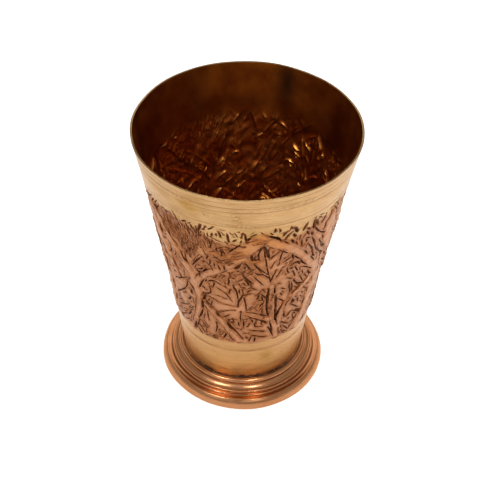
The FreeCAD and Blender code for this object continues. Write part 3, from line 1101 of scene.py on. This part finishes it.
def edge_ring(points, height, first):
    """The vertex numbers of one row of a side, in order round the cup, from the back."""
    share = np.clip((height - SLEEVE_LOW) / (SLEEVE_TOP - SLEEVE_LOW), 0, 1)
    turn = np.arctan2(points[:, 0], -points[:, 1])
    _, up = rim_wave(turn, share)
    row = np.nonzero(np.abs(points[:, 2] - (height + up) * MM) < 2e-6)[0]
    turns = turn[row]
    turns = np.where(turns > math.pi - 1e-4, -math.pi, turns)
    row = row[np.argsort(turns, kind="stable")]
    keep = []
    last = None
    for number in row:
        here = points[number]
        if last is None or np.linalg.norm(here - last) > 1e-5:
            keep.append(first + int(number))
            last = here
    return keep


def weld_seam(mesh):
    """Joins the two edges that meet at the back."""
    shape = bmesh.new()
    shape.from_mesh(mesh)
    seam = [v for v in shape.verts if v.co.y > 0 and abs(v.co.x) < 2e-6]
    bmesh.ops.remove_doubles(shape, verts=seam, dist=4e-6)
    bmesh.ops.recalc_face_normals(shape, faces=shape.faces)
    shape.to_mesh(mesh)
    shape.free()


def finish_mesh(name, mesh, sharp_degrees):
    """Shades a mesh smooth apart from its sharp edges, and puts it in the scene."""
    mesh.validate()
    mesh.shade_smooth()
    mesh.set_sharp_from_angle(angle=math.radians(sharp_degrees))
    piece = bpy.data.objects.new(name, mesh)
    bpy.context.scene.collection.objects.link(piece)
    return piece


# ---------------------------------------------------------------- turned pieces

def arc_points(start, middle, end, count):
    """Points on the round stretch through three points of a profile, without its start."""
    (ax, ay), (bx, by), (cx, cy) = start, middle, end
    d = 2 * (ax * (by - cy) + bx * (cy - ay) + cx * (ay - by))
    a, b, c = ax * ax + ay * ay, bx * bx + by * by, cx * cx + cy * cy
    ox = (a * (by - cy) + b * (cy - ay) + c * (ay - by)) / d
    oy = (a * (cx - bx) + b * (ax - cx) + c * (bx - ax)) / d
    radius = math.hypot(ax - ox, ay - oy)
    first = math.atan2(ay - oy, ax - ox)
    through = (math.atan2(by - oy, bx - ox) - first) % (2 * math.pi)
    sweep = (math.atan2(cy - oy, cx - ox) - first) % (2 * math.pi)
    if through > sweep:
        sweep -= 2 * math.pi
    return [
        (
            ox + radius * math.cos(first + sweep * step / count),
            oy + radius * math.sin(first + sweep * step / count),
        )
        for step in range(1, count + 1)
    ]


def line_points(start, end, count):
    return [
        (start[0] + (end[0] - start[0]) * step / count, start[1] + (end[1] - start[1]) * step / count)
        for step in range(1, count + 1)
    ]


def profile_points(start, *stretches):
    """A profile from its start through (end, count) lines and (middle, end, count) arcs."""
    points = [start]
    for stretch in stretches:
        if len(stretch) == 2:
            points += line_points(points[-1], *stretch)
        else:
            points += arc_points(points[-1], *stretch)
    return points


def turn_profile(name, profile, around, unevenness, sharp_degrees):
    """Revolves a closed profile; unevenness moves its points by angle, radius and height."""
    profile = np.array(profile)
    turns = 2 * math.pi * np.arange(around) / around
    turn, index = np.meshgrid(turns, np.arange(len(profile)), indexing="ij")
    radius = profile[index, 0]
    z = profile[index, 1]
    out, up = unevenness(turn, radius, z)
    radius = (radius + out) * MM
    points = np.stack([radius * np.sin(turn), -radius * np.cos(turn), (z + up) * MM], -1)
    count = len(profile)
    faces = [
        (
            a * count + b,
            ((a + 1) % around) * count + b,
            ((a + 1) % around) * count + (b + 1) % count,
            a * count + (b + 1) % count,
        )
        for a in range(around)
        for b in range(count)
    ]
    mesh = bpy.data.meshes.new(name)
    mesh.from_pydata(points.reshape(-1, 3).tolist(), [], faces)
    shape = bmesh.new()
    shape.from_mesh(mesh)
    bmesh.ops.remove_doubles(shape, verts=[v for v in shape.verts if v.co.xy.length < 1e-7], dist=1e-6)
    loose = [edge for edge in shape.edges if not edge.link_faces]
    bmesh.ops.delete(shape, geom=loose, context="EDGES")
    bmesh.ops.recalc_face_normals(shape, faces=shape.faces)
    shape.to_mesh(mesh)
    shape.free()
    return finish_mesh(name, mesh, sharp_degrees)


def foot_unevenness(turn, radius, z):
    """Spun metal that has been knocked about a little, most at its outer edge."""
    share = np.clip((radius - 24) / (FOOT_RADIUS - 24), 0, 1)
    out = share * (0.14 * np.sin(2 * turn + 0.5) + 0.09 * np.sin(5 * turn + 1.0) + 0.05 * np.sin(9 * turn))
    up = share * (z > 1) * (0.08 * np.sin(3 * turn + 2.0) + 0.05 * np.sin(8 * turn + 1.0))
    return out - 0.12 * share, up


def make_foot():
    edge = FOOT_RADIUS
    seat = SLEEVE_LOW
    crest = FOOT_TOP
    outside = profile_points(
        (edge - 1.0, 0.0),
        ((edge - 0.35, 0.2), (edge - 0.05, 0.9), 5),
        ((edge - 0.4, 2.9), (edge - 1.5, 4.5), 10),
        ((edge - 1.85, 4.82), (edge - 2.35, 4.85), 6),
        ((edge - 2.95, 4.72), (edge - 3.5, 4.7), 4),
        ((edge - 3.95, 4.86), (edge - 4.1, 5.3), 6),
        ((edge - 4.2, 6.4), 2),
        ((edge - 4.32, 6.76), (edge - 4.7, 6.9), 5),
        ((edge - 5.1, 6.8), 1),
        ((edge - 6.0, 7.9), (edge - 7.15, 8.5), 9),
        ((edge - 7.35, 8.4), 1),
        ((edge - 7.75, 9.55), (edge - 8.7, crest), 10),
        ((edge - 9.3, seat), 3),
        ((20.0, seat), 4),
    )
    inside = profile_points(
        (20.0, seat - 0.85),
        ((edge - 8.6, seat - 0.85), 3),
        ((edge - 8.3, 8.52), (edge - 8.1, 8.1), 3),
        ((edge - 7.0, 7.35), 2),
        ((edge - 5.75, 6.1), 2),
        ((edge - 5.0, 6.0), 1),
        ((edge - 4.9, 4.7), 2),
        ((edge - 4.6, 4.1), (edge - 4.0, 3.95), 4),
        ((edge - 2.5, 4.0), 2),
        ((edge - 1.5, 3.3), (edge - 1.1, 2.2), 4),
        ((edge - 1.05, 0.85), 2),
        ((edge - 3.4, 0.85), 2),
        ((edge - 3.4, 0.0), 1),
    )
    return turn_profile("spun_foot", outside + inside, 288, foot_unevenness, 50)


def make_floor():
    """The floor disc, slightly dished, with the turned ridges of its making."""
    top = FLOOR_TOP
    rings = [(FLOOR_RADIUS, SLEEVE_LOW), (FLOOR_RADIUS, top)]
    for radius in np.linspace(FLOOR_RADIUS - 0.5, 0, 40):
        dish = 0.25 * (1 - (radius / FLOOR_RADIUS) ** 2)
        rings.append((radius, top - dish + 0.03 * math.sin(radius * 3.1)))
    for radius in np.linspace(0, FLOOR_RADIUS - 0.5, 8):
        rings.append((radius, SLEEVE_LOW))

    def knocks(turn, radius, z):
        up = 0.04 * np.sin(4 * turn + radius / 3) * np.sin(radius / 4) * (z > SLEEVE_LOW + 0.3)
        return np.zeros_like(radius), up

    return turn_profile("floor_disc", rings, 160, knocks, 50)


def make_solder(name, corner, wall_top, toe, lean, size):
    """A hand-run solder fillet: an uneven ring with a hollow face."""
    middle = (
        0.25 * corner[0] + 0.375 * (wall_top[0] + toe[0]),
        0.25 * corner[1] + 0.375 * (wall_top[1] + toe[1]),
    )
    profile = [corner, wall_top] + arc_points(wall_top, middle, toe, 7)

    def drips(turn, radius, z):
        wave = 0.5 * np.sin(9 * turn + lean) + 0.4 * np.sin(23 * turn + 2) + 0.3 * np.sin(47 * turn + lean)
        away = np.hypot(radius - corner[0], z - corner[1])
        share = away / size
        return 0.16 * wave * share * np.sign(toe[0] - corner[0]), 0.2 * wave * share

    return turn_profile(name, profile, 400, drips, 60)


def make_foot_solder():
    sleeve_side = sleeve_radius(SLEEVE_LOW)
    corner = (sleeve_side - 0.15, SLEEVE_LOW - 0.05)
    wall_top = (sleeve_radius(JOINT_TOP) - 0.1, JOINT_TOP - 0.1)
    toe = (solder_high.x / MM + 0.1, SLEEVE_LOW + 0.02)
    return make_solder("joint_solder", corner, wall_top, toe, 0.7, 1.3)


def make_floor_solder():
    corner = (sleeve_radius(FLOOR_TOP) - SHEET + 0.1, FLOOR_TOP - 0.05)
    wall_top = (sleeve_radius(FILLET_TOP) - SHEET + 0.1, FILLET_TOP)
    toe = (corner[0] - 1.5, FLOOR_TOP)
    return make_solder("floor_fillet", corner, wall_top, toe, 2.1, 1.6)


# ---------------------------------------------------------------- materials

class Nodes:
    """A material under construction, with short ways to add and join its nodes."""

    def __init__(self, name):
        self.material = bpy.data.materials.new(name)
        self.material.use_nodes = True
        self.tree = self.material.node_tree
        self.tree.nodes.clear()
        self.shader = self.tree.nodes.new("ShaderNodeBsdfPrincipled")
        output = self.tree.nodes.new("ShaderNodeOutputMaterial")
        self.join(self.shader.outputs["BSDF"], output.inputs["Surface"])
        self.place = self.tree.nodes.new("ShaderNodeTexCoord").outputs["Object"]

    def join(self, output, socket):
        self.tree.links.new(output, socket)

    def feed(self, value, socket):
        if isinstance(value, bpy.types.NodeSocket):
            self.join(value, socket)
        else:
            socket.default_value = value

    def fact(self, name):
        node = self.tree.nodes.new("ShaderNodeAttribute")
        node.attribute_name = name
        return node.outputs["Fac"]

    def math(self, operation, first, second=0.0, third=0.0):
        node = self.tree.nodes.new("ShaderNodeMath")
        node.operation = operation
        for value, socket in zip((first, second, third), node.inputs):
            self.feed(value, socket)
        return node.outputs[0]

    def stretched(self, scale):
        """Object coordinates times a scale, so that a noise runs in streaks."""
        node = self.tree.nodes.new("ShaderNodeVectorMath")
        node.operation = "MULTIPLY"
        self.join(self.place, node.inputs[0])
        node.inputs[1].default_value = scale
        return node.outputs[0]

    def turned(self, around, out, up):
        """Coordinates for streaks round the axis: slow round it, quick outwards and up."""
        split = self.tree.nodes.new("ShaderNodeSeparateXYZ")
        self.join(self.place, split.inputs[0])
        x, y, z = split.outputs
        squares = [self.math("MULTIPLY", side, side) for side in (x, y)]
        radius = self.math("SQRT", self.math("ADD", *squares))
        join = self.tree.nodes.new("ShaderNodeCombineXYZ")
        across = [self.math("MULTIPLY", x, around), self.math("MULTIPLY", radius, out)]
        self.join(self.math("ADD", *across), join.inputs[0])
        self.join(self.math("MULTIPLY", y, around), join.inputs[1])
        self.join(self.math("MULTIPLY", z, up), join.inputs[2])
        return join.outputs[0]

    def noise(self, place, scale, detail=3.0, roughness=0.55):
        node = self.tree.nodes.new("ShaderNodeTexNoise")
        self.join(place, node.inputs["Vector"])
        node.inputs["Scale"].default_value = scale
        node.inputs["Detail"].default_value = detail
        node.inputs["Roughness"].default_value = roughness
        return node.outputs["Fac"]

    def ramp(self, value, low, high, to_low=0.0, to_high=1.0):
        node = self.tree.nodes.new("ShaderNodeMapRange")
        node.interpolation_type = "SMOOTHSTEP"
        self.join(value, node.inputs["Value"])
        node.inputs["From Min"].default_value = low
        node.inputs["From Max"].default_value = high
        node.inputs["To Min"].default_value = to_low
        node.inputs["To Max"].default_value = to_high
        return node.outputs["Result"]

    def mix(self, share, first, second):
        node = self.tree.nodes.new("ShaderNodeMix")
        node.data_type = "RGBA"
        self.feed(share, node.inputs["Factor"])
        for value, socket in ((first, node.inputs[6]), (second, node.inputs[7])):
            if isinstance(value, tuple):
                socket.default_value = (*value, 1.0)
            else:
                self.join(value, socket)
        return node.outputs[2]

    def bump(self, height, depth_mm, before=None):
        node = self.tree.nodes.new("ShaderNodeBump")
        node.inputs["Distance"].default_value = depth_mm * MM
        node.inputs["Strength"].default_value = 1.0
        self.join(height, node.inputs["Height"])
        if before is not None:
            self.join(before, node.inputs["Normal"])
        return node.outputs["Normal"]

    def part_of_place(self, axis):
        split = self.tree.nodes.new("ShaderNodeSeparateXYZ")
        self.join(self.place, split.inputs[0])
        return split.outputs[axis]

    def height(self):
        """Height above the table, in metres."""
        return self.part_of_place(2)

    def depth(self):
        """Distance behind the axis, in metres."""
        return self.part_of_place(1)

    def finish(self, color, metallic, roughness, normal=None, edge_tint=(1.0, 1.0, 1.0, 1.0)):
        self.feed(color, self.shader.inputs["Base Color"])
        self.feed(metallic, self.shader.inputs["Metallic"])
        self.feed(roughness, self.shader.inputs["Roughness"])
        self.feed(edge_tint, self.shader.inputs["Specular Tint"])
        if normal is not None:
            self.join(normal, self.shader.inputs["Normal"])
        return self.material


def chased_copper():
    """The sleeve's outside: brushed pale bands, pink-brown chased ground, dark cuts."""
    n = Nodes("chased_copper")
    streaks = n.noise(n.stretched((110, 110, 6500)), 1.0, 3.0)
    broad = n.noise(n.stretched((160, 160, 420)), 1.0, 3.0)
    patches = n.noise(n.place, 130.0, 3.0)
    blotches = n.noise(n.place, 620.0, 4.0, 0.65)
    grain_and_sparkle = n.noise(n.place, 2600.0, 3.0, 0.7)
    # Painted light: near the foot the pale band is painted much brighter, to make up for the dark reflection
    # of the foot in it.
    pale_painted_light = n.mix(n.ramp(streaks, 0.3, 0.7), (0.57, 0.305, 0.100), (0.68, 0.390, 0.142))
    pale_low = n.mix(n.ramp(streaks, 0.3, 0.7), (0.37, 0.193, 0.071), (0.46, 0.258, 0.107))
    pale_high = n.mix(n.ramp(streaks, 0.3, 0.7), (0.37, 0.212, 0.088), (0.50, 0.313, 0.145))
    pale_high = n.mix(n.ramp(broad, 0.35, 0.75, 0.0, 0.6), pale_high, (0.32, 0.177, 0.068))
    pale = n.mix(n.ramp(n.height(), 0.012, 0.030), pale_painted_light, pale_low)
    pale = n.mix(n.ramp(n.height(), 0.05, 0.09), pale, pale_high)
    stain = n.math("MULTIPLY", n.fact("warm"), n.ramp(broad, 0.25, 0.7, 0.45, 0.95))
    pale = n.mix(stain, pale, (0.30, 0.150, 0.026))
    spots = n.math("MULTIPLY", n.fact("tarnish"), n.ramp(n.noise(n.place, 1250.0, 2.0), 0.42, 0.62))
    pale = n.mix(n.math("MINIMUM", n.math("MULTIPLY", spots, 1.3), 0.85), pale, (0.20, 0.095, 0.035))
    ground = n.mix(n.ramp(patches, 0.35, 0.65), (0.38, 0.172, 0.084), (0.30, 0.120, 0.046))
    # Painted sparkle: the fine grain is the metal's own, but its pale pink specks are painted highlights.
    ground = n.mix(n.ramp(grain_and_sparkle, 0.35, 0.75, 0.0, 0.4), ground, (0.49, 0.260, 0.150))
    ground = n.mix(n.ramp(n.fact("rise"), 0.2, 1.0, 0.0, 0.75), ground, (0.39, 0.182, 0.090))
    ground = n.mix(n.math("MULTIPLY", n.fact("warm"), 0.85), ground, (0.38, 0.142, 0.029))
    crowded = n.math("MULTIPLY", n.ramp(n.fact("crowd"), 0.10, 0.85), n.ramp(blotches, 0.3, 0.62, 0.35, 0.95))
    ground = n.mix(crowded, ground, (0.22, 0.070, 0.020))
    stained = n.math("MULTIPLY", n.fact("tarnish"), n.ramp(blotches, 0.3, 0.6, 0.25, 0.9))
    ground = n.mix(stained, ground, (0.16, 0.05, 0.014))
    # Painted highlight: the burr lips along the cuts are painted a paler pink.
    ground = n.mix(n.ramp(n.fact("lip"), 0.3, 0.9, 0.0, 0.2), ground, (0.60, 0.33, 0.190))
    color = n.mix(n.fact("band"), pale, ground)
    color = n.mix(n.ramp(n.fact("cut"), 0.0, 0.22, 0.0, 0.9), color, (0.18, 0.055, 0.015))
    color = n.mix(n.ramp(n.fact("cut"), 0.15, 0.7, 0.0, 0.9), color, (0.070, 0.018, 0.004))
    rough = n.ramp(streaks, 0.2, 0.8, 0.24, 0.38)
    rough = n.math("ADD", rough, n.ramp(n.fact("band"), 0.0, 1.0, 0.0, 0.07))
    rough = n.math("ADD", rough, n.ramp(n.fact("cut"), 0.0, 0.6, 0.0, 0.18))
    normal = n.bump(streaks, 0.012)
    normal = n.bump(n.math("MULTIPLY", n.fact("band"), blotches), 0.22, normal)
    normal = n.bump(grain_and_sparkle, 0.03, normal)
    return n.finish(color, 1.0, rough, normal, (1.0, 0.92, 0.84, 1.0))


def inside_copper():
    """The cup's inside: dark and tarnished, with painted glints on the ridges and painted light lower down.
    """
    n = Nodes("inside_copper")
    streaks = n.noise(n.stretched((2600, 2600, 60)), 1.0, 3.0)
    patches = n.noise(n.place, 90.0, 4.0)
    color = n.mix(n.ramp(patches, 0.35, 0.7), (0.21, 0.052, 0.005), (0.30, 0.083, 0.009))
    color = n.mix(n.ramp(streaks, 0.4, 0.8, 0.0, 0.35), color, (0.33, 0.100, 0.013))
    color = n.mix(n.ramp(n.fact("band"), 0.0, 1.0), color, (0.34, 0.118, 0.022))
    # Painted light: lower down, the inside is painted a much brighter orange, for the glow and glints deep in
    # the cup.
    color = n.mix(n.ramp(n.height(), 0.095, 0.040, 0.0, 0.9), color, (0.70, 0.290, 0.065))
    color = n.mix(n.math("MULTIPLY", n.fact("tarnish"), 0.9), color, (0.030, 0.012, 0.006))
    # Painted highlight: the ridges are painted brighter orange, as glints.
    color = n.mix(n.ramp(n.fact("cut"), 0.2, 0.9, 0.0, 0.6), color, (0.48, 0.190, 0.042))
    rough = n.ramp(patches, 0.3, 0.7, 0.0, 0.10)
    rough = n.math("ADD", rough, n.ramp(n.fact("band"), 0.0, 1.0, 0.38, 0.28))
    normal = n.bump(streaks, 0.015)
    return n.finish(color, 1.0, rough, normal, (0.84, 0.50, 0.28, 1.0))


def foot_copper():
    """Spun copper, redder than the sleeve, satin, with turning lines."""
    n = Nodes("foot_copper")
    lines = n.noise(n.turned(30, 5200, 5200), 1.0, 3.0)
    patches = n.noise(n.place, 75.0, 4.0)
    color = n.mix(n.ramp(lines, 0.3, 0.7), (0.39, 0.165, 0.070), (0.47, 0.222, 0.102))
    color = n.mix(n.ramp(patches, 0.45, 0.75, 0.0, 0.6), color, (0.34, 0.120, 0.036))
    rough = n.ramp(lines, 0.2, 0.8, 0.22, 0.34)
    normal = n.bump(n.noise(n.place, 260.0, 2.0), 0.05, n.bump(lines, 0.012))
    return n.finish(color, 1.0, rough, normal, (1.0, 0.80, 0.62, 1.0))


def floor_copper():
    """The floor disc: tarnished, with turning lines."""
    n = Nodes("floor_copper")
    lines = n.noise(n.turned(30, 2600, 2600), 1.0, 3.0)
    patches = n.noise(n.place, 120.0, 4.0)
    color = n.mix(n.ramp(patches, 0.35, 0.7), (0.20, 0.065, 0.02), (0.36, 0.14, 0.05))
    return n.finish(color, 1.0, n.ramp(lines, 0.2, 0.8, 0.30, 0.48), n.bump(lines, 0.015))


def old_solder():
    """Dull solder: black round the front, browner behind, with grey-green crumbs of flux."""
    n = Nodes("old_solder")
    lumps = n.noise(n.place, 420.0, 4.0, 0.6)
    crumbs = n.noise(n.place, 900.0, 3.0, 0.6)
    color = n.mix(n.ramp(lumps, 0.35, 0.65), (0.030, 0.012, 0.006), (0.10, 0.042, 0.016))
    color = n.mix(n.ramp(crumbs, 0.60, 0.70, 0.0, 0.7), color, (0.19, 0.20, 0.13))
    color = n.mix(n.ramp(n.depth(), -0.019, -0.012, 0.0, 0.75), color, (0.36, 0.15, 0.055))
    rough = n.ramp(crumbs, 0.4, 0.7, 0.42, 0.75)
    return n.finish(color, n.ramp(crumbs, 0.55, 0.68, 0.85, 0.2), rough, n.bump(lumps, 0.12))


def plain_material(name, color, roughness):
    n = Nodes(name)
    return n.finish((*color, 1.0), 0.0, roughness)


# ---------------------------------------------------------------- the pieces

def place_piece(piece, node, slot, *materials):
    """Gives a piece its materials and makes it stand for its CAD node."""
    for material in materials:
        piece.data.materials.append(material)
    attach(piece, "root")
    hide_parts(node)


place_piece(make_sleeve(), "cup_wall", "chased_copper", chased_copper(), inside_copper())
place_piece(make_floor(), "cup_floor", "floor_copper", floor_copper())
place_piece(make_foot(), "foot", "foot_copper", foot_copper())
solder = old_solder()
place_piece(make_foot_solder(), "foot_solder", "solder", solder)
place_piece(make_floor_solder(), "floor_solder", "solder", solder)


# ---------------------------------------------------------------- floor, light and camera

def make_stage():
    """A plain pale floor."""
    mesh = bpy.data.meshes.new("studio_floor")
    shape = bmesh.new()
    bmesh.ops.create_circle(shape, cap_ends=True, segments=96, radius=3.0)
    shape.to_mesh(mesh)
    shape.free()
    mesh.materials.append(plain_material("pale_floor", (0.86, 0.86, 0.86), 0.9))
    floor = bpy.data.objects.new("studio_floor", mesh)
    bpy.context.scene.collection.objects.link(floor)


def make_card(name, place, target, wide, tall, color):
    """A card that only reflections see, like the dark or pale panels round a studio table."""
    mesh = bpy.data.meshes.new(name)
    half = Vector((wide / 2, tall / 2, 0))
    corners = [(-half.x, -half.y, 0), (half.x, -half.y, 0), (half.x, half.y, 0), (-half.x, half.y, 0)]
    mesh.from_pydata(corners, [], [(0, 1, 2, 3)])
    mesh.materials.append(plain_material(name, color, 1.0))
    card = bpy.data.objects.new(name, mesh)
    card.location = place
    card.rotation_euler = (Vector(target) - Vector(place)).to_track_quat("Z", "Y").to_euler()
    card.visible_camera = False
    card.visible_shadow = False
    card.visible_diffuse = False
    bpy.context.scene.collection.objects.link(card)


def make_light(name, place, target, wide, tall, watts, mirrored=True):
    """An area lamp; one that is not mirrored casts no shadow and no highlight."""
    lamp = bpy.data.lights.new(name, "AREA")
    lamp.shape = "RECTANGLE"
    lamp.size = wide
    lamp.size_y = tall
    lamp.energy = watts
    light = bpy.data.objects.new(name, lamp)
    light.visible_glossy = mirrored
    lamp.use_shadow = mirrored
    light.location = place
    light.rotation_euler = (Vector(target) - Vector(place)).to_track_quat("-Z", "Y").to_euler()
    bpy.context.scene.collection.objects.link(light)


def make_world():
    """White to the camera, soft grey to the floor, and darker as the metal mirrors it."""
    world = bpy.data.worlds.new("studio")
    world.use_nodes = True
    tree = world.node_tree
    tree.nodes.clear()
    output = tree.nodes.new("ShaderNodeOutputWorld")
    soft_white = (1, 0.985, 0.96, 1)
    backgrounds = []
    for color, strength in (((1, 1, 1, 1), 1.0), (soft_white, 0.80), (soft_white, 0.50)):
        background = tree.nodes.new("ShaderNodeBackground")
        background.inputs["Color"].default_value = color
        background.inputs["Strength"].default_value = strength
        backgrounds.append(background)
    seen, lit, mirrored = backgrounds
    path = tree.nodes.new("ShaderNodeLightPath")
    shaded = tree.nodes.new("ShaderNodeMixShader")
    tree.links.new(path.outputs["Is Glossy Ray"], shaded.inputs[0])
    tree.links.new(lit.outputs[0], shaded.inputs[1])
    tree.links.new(mirrored.outputs[0], shaded.inputs[2])
    mix = tree.nodes.new("ShaderNodeMixShader")
    tree.links.new(path.outputs["Is Camera Ray"], mix.inputs[0])
    tree.links.new(shaded.outputs[0], mix.inputs[1])
    tree.links.new(seen.outputs[0], mix.inputs[2])
    tree.links.new(mix.outputs[0], output.inputs["Surface"])
    bpy.context.scene.world = world


VIEW_TARGET = Vector((0.24, 0.0, 60.7)) * MM
VIEW_DISTANCE = 395.2 * MM
VIEW_ELEVATION = math.radians(42.71)
VIEW_ROLL = math.radians(1.39)
VIEW_LENS = 73.47


def make_camera():
    """A short telephoto view from above the front, turned a little about its axis."""
    back = Vector((0, -math.cos(VIEW_ELEVATION), math.sin(VIEW_ELEVATION)))
    level = Vector((1, 0, 0))
    upright = back.cross(level)
    right = level * math.cos(VIEW_ROLL) + upright * math.sin(VIEW_ROLL)
    up = upright * math.cos(VIEW_ROLL) - level * math.sin(VIEW_ROLL)
    data = bpy.data.cameras.new("camera")
    data.lens = VIEW_LENS
    data.sensor_width = 36
    camera = bpy.data.objects.new("camera", data)
    axes = Matrix((right, up, back)).transposed().to_4x4()
    camera.matrix_world = Matrix.Translation(VIEW_TARGET + back * VIEW_DISTANCE) @ axes
    bpy.context.scene.collection.objects.link(camera)
    bpy.context.scene.camera = camera


make_stage()
make_world()
make_light("left_softbox", (-0.36, -0.53, 0.60), (0, 0, 0.05), 0.07, 0.20, 2.4)
make_light("right_softbox", (0.22, -0.62, 0.64), (0, 0, 0.05), 0.08, 0.20, 2.2)
make_light("back_softbox", (0.0, 0.65, 0.70), (0, 0, 0.05), 1.0, 0.7, 2.6)
make_light("floor_fill", (0.45, -0.15, 0.60), (0, 0, 0), 0.5, 0.5, 4.2, mirrored=False)
make_card("dark_camera", (-0.08, -0.49, 0.45), (0, 0, 0.02), 0.34, 0.20, (0.02, 0.02, 0.02))
make_camera()
bpy.context.scene.view_settings.view_transform = "Standard"
